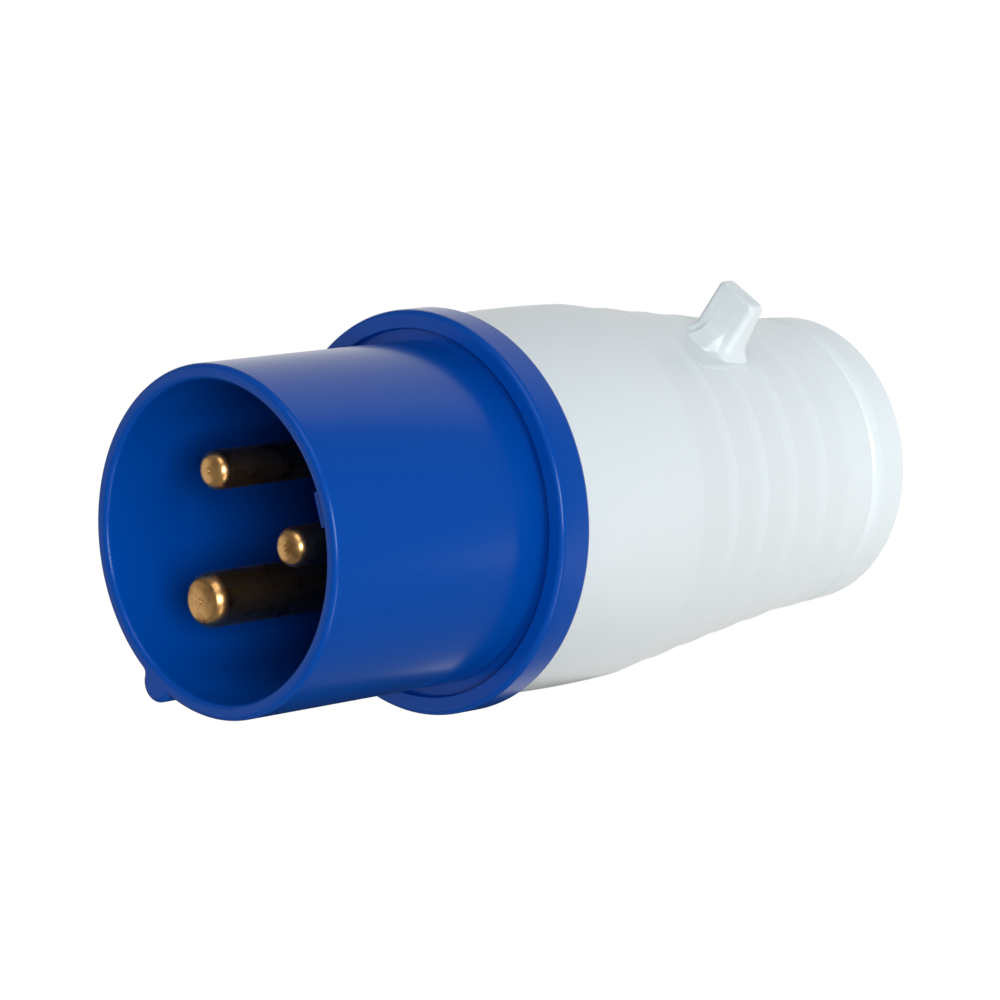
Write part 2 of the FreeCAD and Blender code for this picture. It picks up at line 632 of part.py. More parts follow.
def cord_clamp_saddle():
    """Upper half of the cord clamp, bowed over the cord."""
    body = new_body("cord_clamp_saddle")
    shoulder = "saddle_top - saddle_crown"
    bow_foot = "(cord_groove_radius + saddle_ledge)"
    saddle = outline(new_sketch(body, "saddle_outline", "XY_Plane", CRADLE_REAR), [
        ("saddle_half_span", "cradle_top"),
        ("saddle_half_span", shoulder),
        (bow_foot, shoulder),
        ("-" + bow_foot, shoulder, "0", "saddle_top + saddle_crown"),
        ("-saddle_half_span", shoulder),
        ("-saddle_half_span", "cradle_top"),
    ])
    pad(body, "saddle", saddle, "cradle_length")
    groove = round_hole(new_sketch(body, "saddle_groove", "XY_Plane", CRADLE_REAR), "0", "0",
                        "cord_groove_radius")
    pocket(body, "saddle_groove_cut", groove, "cradle_length", backwards=True)
    holes = new_sketch(body, "saddle_holes", "XZ_Plane", "0 - cradle_top")
    for sign in ("", "-"):
        round_hole(holes, sign + CLAMP_SCREW_PLACE, CRADLE_REAR + " + cradle_length / 2",
                   "clamp_screw_hole")
    pocket(body, "saddle_hole_cut", holes, "saddle_top + saddle_crown", backwards=False)
    return body


def clamp_screw(side, sign):
    """Pulls the saddle on to the cord."""
    body = slotted_screw(side + "_clamp_screw", "clamp_screw_radius", "clamp_screw_length",
                         "clamp_head_radius", "clamp_head_height")
    body.Placement = FreeCAD.Placement(V(0, 0, 0), FreeCAD.Rotation(V(1, 0, 0), -90))
    tie(body, "Placement.Base.x", sign + CLAMP_SCREW_PLACE)
    tie(body, "Placement.Base.y", "saddle_top - saddle_crown")
    tie(body, "Placement.Base.z", CRADLE_REAR + " + cradle_length / 2")
    return body


def retainer_screw():
    """Holds the retainer against the carrier. It is driven from the rear."""
    body = slotted_screw("retainer_screw", "retainer_screw_radius", "retainer_screw_length",
                         "retainer_head_radius", "retainer_head_height")
    body.Placement = FreeCAD.Placement(V(0, 0, 0), FreeCAD.Rotation(V(1, 0, 0), 180))
    tie(body, "Placement.Base.z", RETAINER_REAR)
    return body


def front_seal():
    """Flat rubber ring between the collar and the housing."""
    inner = "spigot_radius + seal_clearance"
    outer = "seal_rebate_radius - seal_clearance"
    rear = COLLAR_REAR + " - seal_thickness"
    ring = doc.addObject("Part::Cylinder", "seal_disc")
    tie(ring, "Radius", outer)
    tie(ring, "Height", "seal_thickness")
    tie(ring, "Placement.Base.z", rear)
    hole = doc.addObject("Part::Cylinder", "seal_hole")
    tie(hole, "Radius", inner)
    tie(hole, "Height", "seal_thickness")
    tie(hole, "Placement.Base.z", rear)
    seal = doc.addObject("Part::Cut", "front_seal")
    seal.Base = ring
    seal.Tool = hole
    seal.Label = "front_seal"
    doc.recompute()
    return seal


def taper_radius(place):
    """Radius of the housing's hollow taper at a distance from the front face, without its steps."""
    last = "(housing_length - grip_last)"
    share = "((%s - taper_start) / (%s - taper_start))" % (place, last)
    fall = "(grip_end_radius - taper_start_radius)"
    return "(taper_start_radius + %s * %s - 4 * taper_sag * %s * (1 - %s))" % (
        fall, share, share, share)


def rear_housing():
    """White moulded housing: a barrel-shaped front, a hollow taper with five grip steps, the nose for
    a socket's lid, and the threaded stub of the cable gland."""
    body = new_body("rear_housing")
    section = [
        ("gland_bore_radius", STUB_REAR),
        ("stub_radius - stub_edge", STUB_REAR),
        ("stub_radius", STUB_REAR + " + stub_edge"),
        ("stub_radius", SHOULDER),
        ("housing_rear_radius", SHOULDER),
    ]
    for ring in reversed(range(GRIP_RINGS)):
        place = "(grip_first + %d * %s)" % (ring, GRIP_PITCH)
        rear = "(%s + grip_fall)" % place
        front = "(%s - grip_rise)" % place
        section.append((taper_radius(rear) + " + grip_step / 2", "%s - %s" % (COLLAR_REAR, rear)))
        section.append((taper_radius(front) + " - grip_step / 2", "%s - %s" % (COLLAR_REAR, front)))
    seal_floor = COLLAR_REAR + " - seal_thickness"
    bore = "spigot_radius + spigot_clearance"
    bore_end = SPIGOT_REAR + " - bore_extra"
    section += [
        ("taper_start_radius", COLLAR_REAR + " - taper_start"),
        ("housing_front_radius", COLLAR_REAR, "housing_belly_radius",
         COLLAR_REAR + " - housing_belly_place"),
        ("seal_rebate_radius", COLLAR_REAR),
        ("seal_rebate_radius", seal_floor),
        (bore, seal_floor),
        (bore, bore_end),
        ("cavity_radius", bore_end),
        ("cavity_radius", COLLAR_REAR + " - taper_start"),
        ("cavity_rear_radius", GLAND_WALL_FRONT),
        ("gland_hole_radius", GLAND_WALL_FRONT),
        ("gland_hole_radius", GLAND_WALL_REAR),
        ("gland_bore_radius", GLAND_WALL_REAR),
    ]
    turned(body, "housing_shell", section)
    pad_rear = "(nose_pad_front + nose_pad_length)"
    low_pad = outline(new_sketch(body, "nose_pad_section", "YZ_Plane"), [
        (taper_radius(pad_rear) + " - nose_root", "%s - %s" % (COLLAR_REAR, pad_rear)),
        (taper_radius("nose_pad_front") + " - nose_root", COLLAR_REAR + " - nose_pad_front"),
        (taper_radius("nose_pad_front") + " + nose_pad_height", COLLAR_REAR + " - nose_pad_front"),
        (taper_radius(pad_rear) + " + nose_pad_height", "%s - %s" % (COLLAR_REAR, pad_rear)),
    ])
    raised = body.newObject("PartDesign::Revolution", "nose_pad")
    raised.Profile = low_pad
    raised.ReferenceAxis = (low_pad, ["V_Axis"])
    raised.Midplane = True
    tie(raised, "Angle", "nose_pad_angle")
    doc.recompute()
    surface = taper_radius("nose_rear_place")
    top = "(%s + nose_height)" % surface
    root = "(%s - nose_root)" % surface
    nose_rear = "(%s - nose_rear_place)" % COLLAR_REAR
    nose_foot = "(%s + nose_foot_thickness)" % nose_rear
    nose_front = "(%s + nose_top_thickness)" % nose_rear
    blade = outline(new_sketch(body, "nose_outline", "YZ_Plane"), [
        (root, nose_rear),
        (root, nose_foot),
        (surface, nose_foot),
        (top, nose_front),
        (top, nose_rear),
    ])
    pad(body, "nose", blade, "nose_width", both_ways=True)
    side = number("nose_width / 2") - NEAR
    crest = number(top) - NEAR
    front = number(nose_front)

    def nose_corner(edge):
        box = edge.BoundBox
        if box.YMax < crest:
            return False
        beside = min(abs(box.XMin), abs(box.XMax)) > side and box.ZLength > NEAR
        across = abs(box.ZMin - front) < NEAR and box.XLength > side
        return beside or across

    dress(body, "nose_corners", "Fillet", edges_where(body, nose_corner), "nose_corner_round")
    rib_top = "(%s - buttress_drop)" % top
    rib_start = "(%s + buttress_start)" % nose_rear
    rib_foot = taper_radius("(nose_rear_place - buttress_start - buttress_reach)")
    hollow_y = "(%s + (%s - %s) * %s)" % (rib_foot, rib_top, rib_foot, RIB_HOLLOW_UP)
    hollow_z = "(%s + buttress_reach * %s)" % (rib_start, RIB_HOLLOW_ALONG)
    buttress = outline(new_sketch(body, "buttress_outline", "YZ_Plane"), [
        (root, nose_rear + " + nose_top_thickness / 2"),
        (root, rib_start + " + buttress_reach"),
        (rib_foot, rib_start + " + buttress_reach"),
        (rib_top, rib_start, hollow_y, hollow_z),
        (rib_top, nose_rear + " + nose_top_thickness / 2"),
    ])
    pad(body, "buttress", buttress, "buttress_width", both_ways=True)
    return body


def gland_grommet():
    """Rubber bush that the nut squeezes round the cord."""
    body = new_body("gland_grommet")
    outer = "gland_bore_radius - grommet_clearance"
    turned(body, "grommet", [
        ("cord_entry_radius", STUB_REAR),
        (outer + " - grommet_edge", STUB_REAR),
        (outer, STUB_REAR + " + grommet_edge"),
        (outer, GLAND_WALL_REAR),
        ("cord_entry_radius", GLAND_WALL_REAR),
    ])
    return body


def thrust_washer():
    """Slip washer between the nut and the grommet."""
    body = new_body("thrust_washer")
    ring = new_sketch(body, "washer_outline", "XY_Plane", WASHER_REAR)
    round_hole(ring, "0", "0", "stub_radius - stub_edge")
    round_hole(ring, "0", "0", "washer_hole_radius")
    pad(body, "washer", ring, "washer_thickness")
    return body


def gland_nut():
    """White cap nut that closes the gland and that the plug stands on."""
    body = new_body("gland_nut")
    inside = "stub_radius + thread_clearance"
    turned(body, "nut", [
        ("nut_hole_radius", "0"),
        ("nut_foot_radius", "0"),
        ("nut_rear_radius", "nut_bevel_length"),
        ("nut_radius", "nut_length"),
        (inside, "nut_length"),
        (inside, NUT_WALL),
        ("nut_hole_radius", NUT_WALL),
    ])
    dress(body, "nut_bevel_edges", "Fillet",
          edges_where(body, rings_at("nut_rear_radius", "nut_bevel_length"))
          + edges_where(body, rings_at("nut_foot_radius", "0")), "nut_bevel_round")
    dress(body, "nut_front_edge", "Fillet",
          edges_where(body, rings_at("nut_radius", "nut_length")), "nut_front_round")
    dress(body, "nut_hole_edge", "Fillet",
          edges_where(body, rings_at("nut_hole_radius", "0")), "nut_hole_round")
    return body


def build_all():
    pieces = [front_sleeve()]
    for pin in PINS:
        pieces.append(contact_pin(pin))
        pieces.append(terminal_screw(pin))
        pieces.append(wire_guard(pin))
    pieces.append(pin_retainer())
    pieces.append(retainer_screw())
    pieces.append(cord_clamp_saddle())
    pieces.append(clamp_screw("left", "-"))
    pieces.append(clamp_screw("right", ""))
    pieces.append(front_seal())
    pieces.append(rear_housing())
    pieces.append(gland_grommet())
    pieces.append(thrust_washer())
    pieces.append(gland_nut())
    return pieces


def check(pieces):
    """Stops unless every object recomputed and every piece is one valid closed shape."""
    failed = [item.Name for item in doc.Objects if "Invalid" in item.State or "Error" in item.State]
    if failed:
        raise RuntimeError("failed objects: " + ", ".join(failed))
    for piece in pieces:
        shape = piece.Shape
        if shape.isNull() or not shape.isValid() or len(shape.Solids) != 1:
            raise RuntimeError("bad shape: " + piece.Label)


parts = build_all()
doc.recompute()
check(parts)
os.makedirs("parts", exist_ok=True)
for piece in parts:
    piece.Shape.exportStep("parts/%s.step" % piece.Label)
    print("%-24s %9.1f mm3" % (piece.Label, piece.Shape.Volume))
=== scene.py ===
"""Industrial pin and sleeve plug, 16 A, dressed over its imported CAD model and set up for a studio
picture. Sizes are in millimetres, written with part.py's names, and become metres in the meshes.
"""
import math
import bmesh
import bpy
from mathutils import Matrix, Vector


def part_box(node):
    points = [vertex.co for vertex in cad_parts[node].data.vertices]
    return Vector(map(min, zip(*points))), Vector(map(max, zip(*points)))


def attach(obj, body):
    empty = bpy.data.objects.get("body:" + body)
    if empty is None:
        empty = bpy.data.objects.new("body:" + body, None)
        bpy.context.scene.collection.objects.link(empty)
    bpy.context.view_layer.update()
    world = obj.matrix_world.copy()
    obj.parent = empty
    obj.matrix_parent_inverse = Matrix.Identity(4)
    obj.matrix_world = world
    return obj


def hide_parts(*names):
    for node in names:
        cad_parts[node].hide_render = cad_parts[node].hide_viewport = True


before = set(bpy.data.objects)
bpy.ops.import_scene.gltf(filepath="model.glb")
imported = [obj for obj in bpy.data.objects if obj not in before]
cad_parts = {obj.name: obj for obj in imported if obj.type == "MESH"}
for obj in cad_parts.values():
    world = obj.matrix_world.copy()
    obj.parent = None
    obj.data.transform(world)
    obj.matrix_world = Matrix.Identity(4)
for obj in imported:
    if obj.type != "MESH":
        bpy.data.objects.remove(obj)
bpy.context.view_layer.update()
MM = 0.001


def height_of(node, end):
    """Lowest (end 0) or highest (end 1) place of a CAD node along the plug's axis, in millimetres."""
    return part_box(node)[end].z / MM


# Heights that the frame gives
MOUTH = height_of("front_sleeve", 1)
SPIGOT_REAR = height_of("front_sleeve", 0)
SEAL_REAR = height_of("front_seal", 0)
COLLAR_REAR = height_of("rear_housing", 1)
STUB_REAR = height_of("rear_housing", 0)
GLAND_WALL_REAR = height_of("gland_grommet", 1)
NUT_FRONT = height_of("gland_nut", 1)
NUT_WALL = height_of("thrust_washer", 0) - 0.05
CARRIER_REAR = height_of("pin_retainer", 1)

# Front sleeve
sleeve_radius = 22.0
sleeve_wall = 2.0
sleeve_draft = 0.4
rim_round = 0.7
collar_radius = 26.0
collar_round = 0.7
collar_length = 5.2
recess_width = 1.6
recess_depth = 1.0
key_width = 5.0
key_height = 2.3
key_foot_round = 0.7
guide_angle = 48.0
guide_width = 4.4
guide_height = 0.7
guide_setback = 0.8
guide_turn_gap = 0.4
floor_depth = 37.0
floor_round = 0.5
spigot_radius = 21.6
spigot_inside = 19.1
mould_edge = 0.12
COLLAR_FRONT = COLLAR_REAR + collar_length
RECESS_FLOOR = COLLAR_FRONT - recess_depth
FLOOR = MOUTH - floor_depth
GUIDE_FACE = sleeve_radius - sleeve_wall - sleeve_draft - guide_height

# Pins, each with its clock angle, its radius, its tip's depth behind the mouth, the length over
# which it narrows, and how far its terminal barrel stands out of it
PINS = [("earth", -90.0, 3.5, 1.95, 1.65, 0.8),
        ("line", 30.0, 2.5, 3.4, 1.15, 1.3),
        ("neutral", 150.0, 2.5, 3.4, 1.15, 1.3)]
pin_circle_radius = 9.3
root_overhang = 0.3
root_gap = 0.05
flange_overhang = 2.0
flange_gap = 0.15
flange_thickness = 2.0
pin_tip_fall = 0.85
pin_tip_dome = 0.25
pip_radius = 0.4
pip_height = 0.15
barrel_length = 18.0
wire_hole_radius = 2.1
wire_hole_depth = 12.0
terminal_screw_place = 6.5
screw_hole_radius = 2.02
pilot_radius = 1.77
pilot_depth = 6.5
drill_point = 1.2
lathe_edge = 0.1
TIP_SIDE_OUT = 0.685
TIP_SIDE_DOWN = 0.44

# Rear housing
housing_front_radius = 24.45
housing_belly_radius = 24.92
housing_belly_place = 13.5
taper_start = 22.5
taper_start_radius = 24.72
taper_sag = 0.19
grip_end_radius = 20.1
grip_places = (29.6, 36.5, 43.4, 50.3, 57.2)
grip_step = 0.2
grip_rise = 1.2
grip_fall = 0.6
housing_rear_radius = 20.0
seal_rebate_radius = 23.2
bore_radius = 21.7
bore_end = SPIGOT_REAR - 0.5
cavity_radius = 21.4
cavity_rear_radius = 17.4
gland_wall = 3.0
gland_hole_radius = 7.0
gland_bore_radius = 13.0
nut_gap = 0.3
SHOULDER = NUT_FRONT + nut_gap

# Nose that a socket's lid hooks over
nose_rear_place = 40.9
nose_height = 8.0
nose_foot_thickness = 3.6
nose_top_thickness = 1.9
nose_width = 7.0
nose_corner_round = 0.9
buttress_width = 3.2
buttress_start = 2.5
buttress_reach = 3.5
buttress_drop = 4.5
RIB_HOLLOW_UP = 0.45
RIB_HOLLOW_OUT = 0.36
nose_sweep = 0.9
nose_sweep_height = 1.8
nose_edge_share = 0.2
nose_pad_angle = 27.4
nose_pad_front = 30.7
nose_pad_length = 10.6
nose_pad_height = 0.12

# Cable gland
stub_radius = 16.5
thread_pitch = 2.0
thread_depth = 0.8
thread_run_out = 0.8
nut_thread_gap = 0.06
nut_radius = 19.95
nut_rear_radius = 19.6
nut_foot_radius = 15.7
nut_bevel_length = 4.6
nut_bevel_round = 0.5
nut_front_round = 2.2
nut_hole_radius = 7.5
nut_hole_round = 0.8
nut_inside = 16.58

# Fineness of the meshes: sides of a round body, degrees of a rounding's step, rows of a thread per
# millimetre, and the distance in metres at which points become one
ROUND_SEGMENTS = 192
ARC_STEP = 12.0
THREAD_ROWS = 16
WELD = 2e-7


# Outlines

def fillet(before, corner, after, radius):
    """Points of the arc that rounds a corner between two straight lines."""
    here = Vector(corner)
    back = (Vector(before) - here).normalized()
    on = (Vector(after) - here).normalized()
    half = back.angle(on) / 2
    reach = radius / math.tan(half)
    centre = here + (back + on).normalized() * (radius / math.sin(half))
    start = here + back * reach - centre
    stop = here + on * reach - centre
    sweep = math.pi - 2 * half
    turn = 1.0 if start.x * stop.y - start.y * stop.x > 0 else -1.0
    steps = max(2, math.ceil(math.degrees(sweep) / ARC_STEP))
    points = []
    for step in range(steps + 1):
        angle = turn * sweep * step / steps
        arm = Matrix.Rotation(angle, 2) @ start
        points.append(tuple(centre + arm))
    return points


def rounded(corners):
    """A closed outline through the corners. A corner is (across, along) or has its rounding third."""
    points = []
    for index, corner in enumerate(corners):
        if len(corner) == 2:
            points.append(corner)
            continue
        before = corners[index - 1][:2]
        after = corners[(index + 1) % len(corners)][:2]
        points += fillet(before, corner[:2], after, corner[2])
    return points


def arc_through(start, middle, stop, steps):
    """Points of the arc from start to stop by way of middle, both ends included."""
    ax, ay = start
    bx, by = middle
    cx, cy = stop
    d = 2 * (ax * (by - cy) + bx * (cy - ay) + cx * (ay - by))
    ux = ((ax ** 2 + ay ** 2) * (by - cy) + (bx ** 2 + by ** 2) * (cy - ay)
          + (cx ** 2 + cy ** 2) * (ay - by)) / d
    uy = ((ax ** 2 + ay ** 2) * (cx - bx) + (bx ** 2 + by ** 2) * (ax - cx)
          + (cx ** 2 + cy ** 2) * (bx - ax)) / d
    first = math.atan2(ay - uy, ax - ux)
    sweep = math.remainder(math.atan2(cy - uy, cx - ux) - first, math.tau)
    radius = math.hypot(ax - ux, ay - uy)
    places = [first + sweep * step / steps for step in range(steps + 1)]
    return [(ux + radius * math.cos(a), uy + radius * math.sin(a)) for a in places]


# Meshes

def new_mesh(name, points, faces=(), edges=()):
    mesh = bpy.data.meshes.new(name)
    mesh.from_pydata([Vector(point) * MM for point in points], edges, faces)
    return mesh


def new_object(name, mesh):
    piece = bpy.data.objects.new(name, mesh)
    bpy.context.scene.collection.objects.link(piece)
    return piece


def baked(carrier):
    """The carrier's evaluated shape as a plain mesh. The carrier goes."""
    bpy.context.view_layer.update()
    depsgraph = bpy.context.evaluated_depsgraph_get()
    mesh = bpy.data.meshes.new_from_object(carrier.evaluated_get(depsgraph))
    bpy.data.objects.remove(carrier)
    return mesh


def grown(tree, source, **values):
    """What a Geometry Nodes tree makes of a mesh, with its inputs set by name."""
    carrier = new_object("carrier", source)
    modifier = carrier.modifiers.new("nodes", "NODES")
    modifier.node_group = tree
    for socket in tree.interface.items_tree:
        if socket.item_type == "SOCKET" and socket.name in values:
            modifier[socket.identifier] = values[socket.name]
    return baked(carrier)


def welded(*meshes):
    """One mesh from several that share their rims, closed and with its faces outwards."""
    work = bmesh.new()
    for mesh in meshes:
        work.from_mesh(mesh)
    bmesh.ops.remove_doubles(work, verts=work.verts, dist=WELD)
    bmesh.ops.dissolve_degenerate(work, edges=work.edges, dist=WELD)
    bmesh.ops.recalc_face_normals(work, faces=work.faces)
    result = bpy.data.meshes.new(meshes[0].name)
    work.to_mesh(result)
    work.free()
    return result


def combined(mesh, operation, *tools):
    """The mesh with each tool joined to it or cut out of it."""
    carrier = new_object("carrier", mesh)
    helpers = []
    for tool in tools:
        helper = new_object("tool", tool)
        helpers.append(helper)
        modifier = carrier.modifiers.new("join", "BOOLEAN")
        modifier.operation = operation
        modifier.solver = "EXACT"
        modifier.object = helper
    result = baked(carrier)
    for helper in helpers:
        bpy.data.objects.remove(helper)
    return result


# Node trees

def add(tree, kind, links=None, **settings):
    """Adds a node, gives its sockets values or links by name or number, and sets its properties."""
    node = tree.nodes.new(kind)
    for name, value in settings.items():
        setattr(node, name, value)
    for key, value in (links or {}).items():
        if isinstance(value, bpy.types.Node):
            value = value.outputs[0]
        if isinstance(value, bpy.types.NodeSocket):
            tree.links.new(value, node.inputs[key])
        else:
            node.inputs[key].default_value = value
    return node


def new_tree(name, inputs):
    """An empty Geometry Nodes tree with named inputs, and its input and output nodes."""
    tree = bpy.data.node_groups.new(name, "GeometryNodeTree")
    for label, kind in inputs:
        tree.interface.new_socket(label, in_out="INPUT", socket_type="NodeSocket" + kind)
    tree.interface.new_socket("Geometry", in_out="OUTPUT", socket_type="NodeSocketGeometry")
    return tree, add(tree, "NodeGroupInput"), add(tree, "NodeGroupOutput")


def finish_tree(tree, shape, finish, output):
    """Ends a tree in plain geometry with its material on."""
    plain = add(tree, "GeometryNodeRealizeInstances", {0: shape})
    painted = add(tree, "GeometryNodeSetMaterial", {"Geometry": plain, "Material": finish})
    tree.links.new(painted.outputs[0], output.inputs[0])


def turning_tree():
    """Turns an outline, given as vertices in order, round the plug's axis."""
    tree, given, output = new_tree("turned", [
        ("Outline", "Geometry"), ("Segments", "Int"), ("Finish", "Material")])
    size = add(tree, "GeometryNodeAttributeDomainSize", {"Geometry": given.outputs["Outline"]})
    rings = add(tree, "ShaderNodeMath", {0: given.outputs["Segments"], 1: 1.0}, operation="ADD")
    grid = add(tree, "GeometryNodeMeshGrid", {
        "Vertices X": rings, "Vertices Y": size.outputs["Point Count"]})
    index = add(tree, "GeometryNodeInputIndex")
    column = add(tree, "ShaderNodeMath", {0: index, 1: size.outputs["Point Count"]},
                 operation="DIVIDE")
    station = add(tree, "ShaderNodeMath", {0: column}, operation="FLOOR")
    place = add(tree, "ShaderNodeMath", {0: index, 1: size.outputs["Point Count"]},
                operation="MODULO")
    share = add(tree, "ShaderNodeMath", {0: station, 1: given.outputs["Segments"]},
                operation="DIVIDE")
    angle = add(tree, "ShaderNodeMath", {0: share, 1: math.tau}, operation="MULTIPLY")
    position = add(tree, "GeometryNodeInputPosition")
    corner = add(tree, "GeometryNodeSampleIndex", {
        "Geometry": given.outputs["Outline"], "Value": position, "Index": place},
        data_type="FLOAT_VECTOR")
    turned_corner = add(tree, "ShaderNodeVectorRotate", {"Vector": corner, "Angle": angle},
                        rotation_type="Z_AXIS")
    surface = add(tree, "GeometryNodeSetPosition", {
        "Geometry": grid.outputs["Mesh"], "Position": turned_corner})
    closed = add(tree, "GeometryNodeMergeByDistance", {
        "Geometry": surface, "Distance": WELD})
    finish_tree(tree, closed, given.outputs["Finish"], output)
    return tree


def thread_tree():
    """A threaded wall round the plug's axis, whose thread fades out into the wall at both ends."""
    tree, given, output = new_tree("threaded", [
        ("Source", "Geometry"), ("Core", "Float"), ("Crest", "Float"), ("Pitch", "Float"),
        ("Low", "Float"), ("High", "Float"), ("Run-out", "Float"), ("Phase", "Float"),
        ("Around", "Int"), ("Along", "Int"), ("Finish", "Material")])

    def sum_of(kind, first, second, clamp=False):
        return add(tree, "ShaderNodeMath", {0: first, 1: second}, operation=kind, use_clamp=clamp)

    around = sum_of("ADD", given.outputs["Around"], 1.0)
    along = sum_of("ADD", given.outputs["Along"], 1.0)
    grid = add(tree, "GeometryNodeMeshGrid", {"Vertices X": around, "Vertices Y": along})
    index = add(tree, "GeometryNodeInputIndex")
    station = add(tree, "ShaderNodeMath", {0: sum_of("DIVIDE", index, along)}, operation="FLOOR")
    turn = sum_of("DIVIDE", station, given.outputs["Around"])
    rise = sum_of("DIVIDE", sum_of("MODULO", index, along), given.outputs["Along"])
    length = sum_of("SUBTRACT", given.outputs["High"], given.outputs["Low"])
    height = sum_of("ADD", given.outputs["Low"], sum_of("MULTIPLY", rise, length))
    pitches = sum_of("DIVIDE", height, given.outputs["Pitch"])
    place = sum_of("ADD", sum_of("SUBTRACT", pitches, turn), given.outputs["Phase"])
    phase = add(tree, "ShaderNodeMath", {0: place}, operation="FRACT")
    swing = sum_of("SUBTRACT", sum_of("MULTIPLY", phase, 2.0), 1.0)
    flank = sum_of("SUBTRACT", 1.0, add(tree, "ShaderNodeMath", {0: swing}, operation="ABSOLUTE"))
    wave = sum_of("SUBTRACT", sum_of("MULTIPLY", flank, 1.6), 0.3, clamp=True)
    nearest = sum_of("MINIMUM", sum_of("SUBTRACT", height, given.outputs["Low"]),
                     sum_of("SUBTRACT", given.outputs["High"], height))
    fade = sum_of("DIVIDE", nearest, given.outputs["Run-out"], clamp=True)
    reach = sum_of("ADD", given.outputs["Core"],
                   sum_of("MULTIPLY", given.outputs["Crest"], sum_of("MULTIPLY", wave, fade)))
    start = add(tree, "ShaderNodeCombineXYZ", {"X": reach, "Z": height})
    angle = sum_of("MULTIPLY", turn, math.tau)
    turned_place = add(tree, "ShaderNodeVectorRotate", {"Vector": start, "Angle": angle},
                       rotation_type="Z_AXIS")
    surface = add(tree, "GeometryNodeSetPosition", {
        "Geometry": grid.outputs["Mesh"], "Position": turned_place})
    closed = add(tree, "GeometryNodeMergeByDistance", {"Geometry": surface, "Distance": WELD})
    finish_tree(tree, closed, given.outputs["Finish"], output)
    return tree


TURNED = turning_tree()
THREADED = thread_tree()


def turned(name, outline, finish=None, closed=True, segments=ROUND_SEGMENTS):
    """A body of revolution about Z from a closed outline of (radius, height) points, or the open
    wall that an open outline gives."""
    corners = outline + outline[:1] if closed else outline
    chain = [(index, index + 1) for index in range(len(corners) - 1)]
    source = new_mesh(name, [(across, 0.0, along) for across, along in corners], edges=chain)
    return grown(TURNED, source, Segments=segments, Finish=finish)


def threaded(name, core, crest, low, high, phase, finish=None):
    """A wall with the gland's thread on it. A negative crest stands inwards."""
    source = new_mesh(name, [(0.0, 0.0, 0.0)])
    return grown(THREADED, source, Core=core * MM, Crest=crest * MM, Pitch=thread_pitch * MM,
                 Low=low * MM, High=high * MM, Phase=phase, Around=ROUND_SEGMENTS,
                 Along=round((high - low) * THREAD_ROWS), Finish=finish,
                 **{"Run-out": thread_run_out * MM})


# Finishes

def linear(code):
    """An sRGB hex colour as the linear numbers that a shader takes."""
    parts = [int(code[place:place + 2], 16) / 255 for place in (1, 3, 5)]
    return tuple(p / 12.92 if p <= 0.04045 else ((p + 0.055) / 1.055) ** 2.4 for p in parts) + (1.0,)


def new_finish(name):
    """An empty material with its shader and its Object coordinates."""
    finish = bpy.data.materials.new(name)
    finish.use_nodes = True
    tree = finish.node_tree
    shader = tree.nodes["Principled BSDF"]
    return finish, tree, shader, add(tree, "ShaderNodeTexCoord").outputs["Object"]


def moulded(name, colour, roughness, peel=0.25, scatter=0.0, specular=0.5):
    """Injection-moulded plastic: a faint orange peel about a millimetre across and a slow change of
    gloss over the surface."""
    finish, tree, shader, place = new_finish(name)
    cells = 1 / (0.9 * MM)
    peel_noise = add(tree, "ShaderNodeTexNoise", {"Vector": place, "Scale": cells, "Detail": 1.0})
    bump = add(tree, "ShaderNodeBump", {
        "Height": peel_noise, "Strength": peel, "Distance": 0.004 * MM})
    slow = add(tree, "ShaderNodeTexNoise", {"Vector": place, "Scale": 1 / (14 * MM), "Detail": 2.0})
    gloss = add(tree, "ShaderNodeMapRange", {
        "Value": slow, "To Min": roughness * 0.95, "To Max": roughness * 1.05})
    shader.inputs["Base Color"].default_value = linear(colour)
    tree.links.new(bump.outputs[0], shader.inputs["Normal"])
    tree.links.new(gloss.outputs[0], shader.inputs["Roughness"])
    shader.inputs["IOR"].default_value = 1.53
    shader.inputs["Specular IOR Level"].default_value = specular
    if scatter:
        shader.inputs["Subsurface Weight"].default_value = scatter
        shader.inputs["Subsurface Radius"].default_value = (1.0, 0.9, 0.8)
        shader.inputs["Subsurface Scale"].default_value = 0.6 * MM
    return finish


def worked_metal(name, colour, stain, roughness, grain_size):
    """Bare or plated metal: a fine grain from the tool, and blotches of a second colour where it was
    handled or has tarnished."""
    finish, tree, shader, place = new_finish(name)
    shader.inputs["Metallic"].default_value = 1.0
    grain = add(tree, "ShaderNodeTexNoise", {"Vector": place, "Scale": 1 / (grain_size * MM)})
    bump = add(tree, "ShaderNodeBump", {"Height": grain, "Strength": 0.15, "Distance": 0.003 * MM})
    tree.links.new(bump.outputs[0], shader.inputs["Normal"])
    blotch = add(tree, "ShaderNodeTexNoise", {"Vector": place, "Scale": 1 / (3 * MM), "Detail": 4.0})
    shade = add(tree, "ShaderNodeMapRange", {
        "Value": blotch, "From Min": 0.5, "From Max": 0.7, "To Min": 0.0, "To Max": 1.0})
    colours = add(tree, "ShaderNodeMix", {
        "Factor": shade, 6: linear(colour), 7: linear(stain)}, data_type="RGBA")
    tree.links.new(colours.outputs[2], shader.inputs["Base Color"])
    shader.inputs["Roughness"].default_value = roughness
    return finish


# Blue nylon (polyamide 6), injection moulded in a polished tool: deep colour under a clear gloss,
# with pale reflections only where it is seen at a slant
BLUE = moulded("moulded_blue_polyamide", "#004AA9", 0.22, specular=0.2)
# The same nylon in cool white, from a less polished tool: satin, with broad soft highlights and a
# little light that spreads inside thin edges
WHITE = moulded("moulded_white_polyamide", "#E9F0F2", 0.33, scatter=0.1)
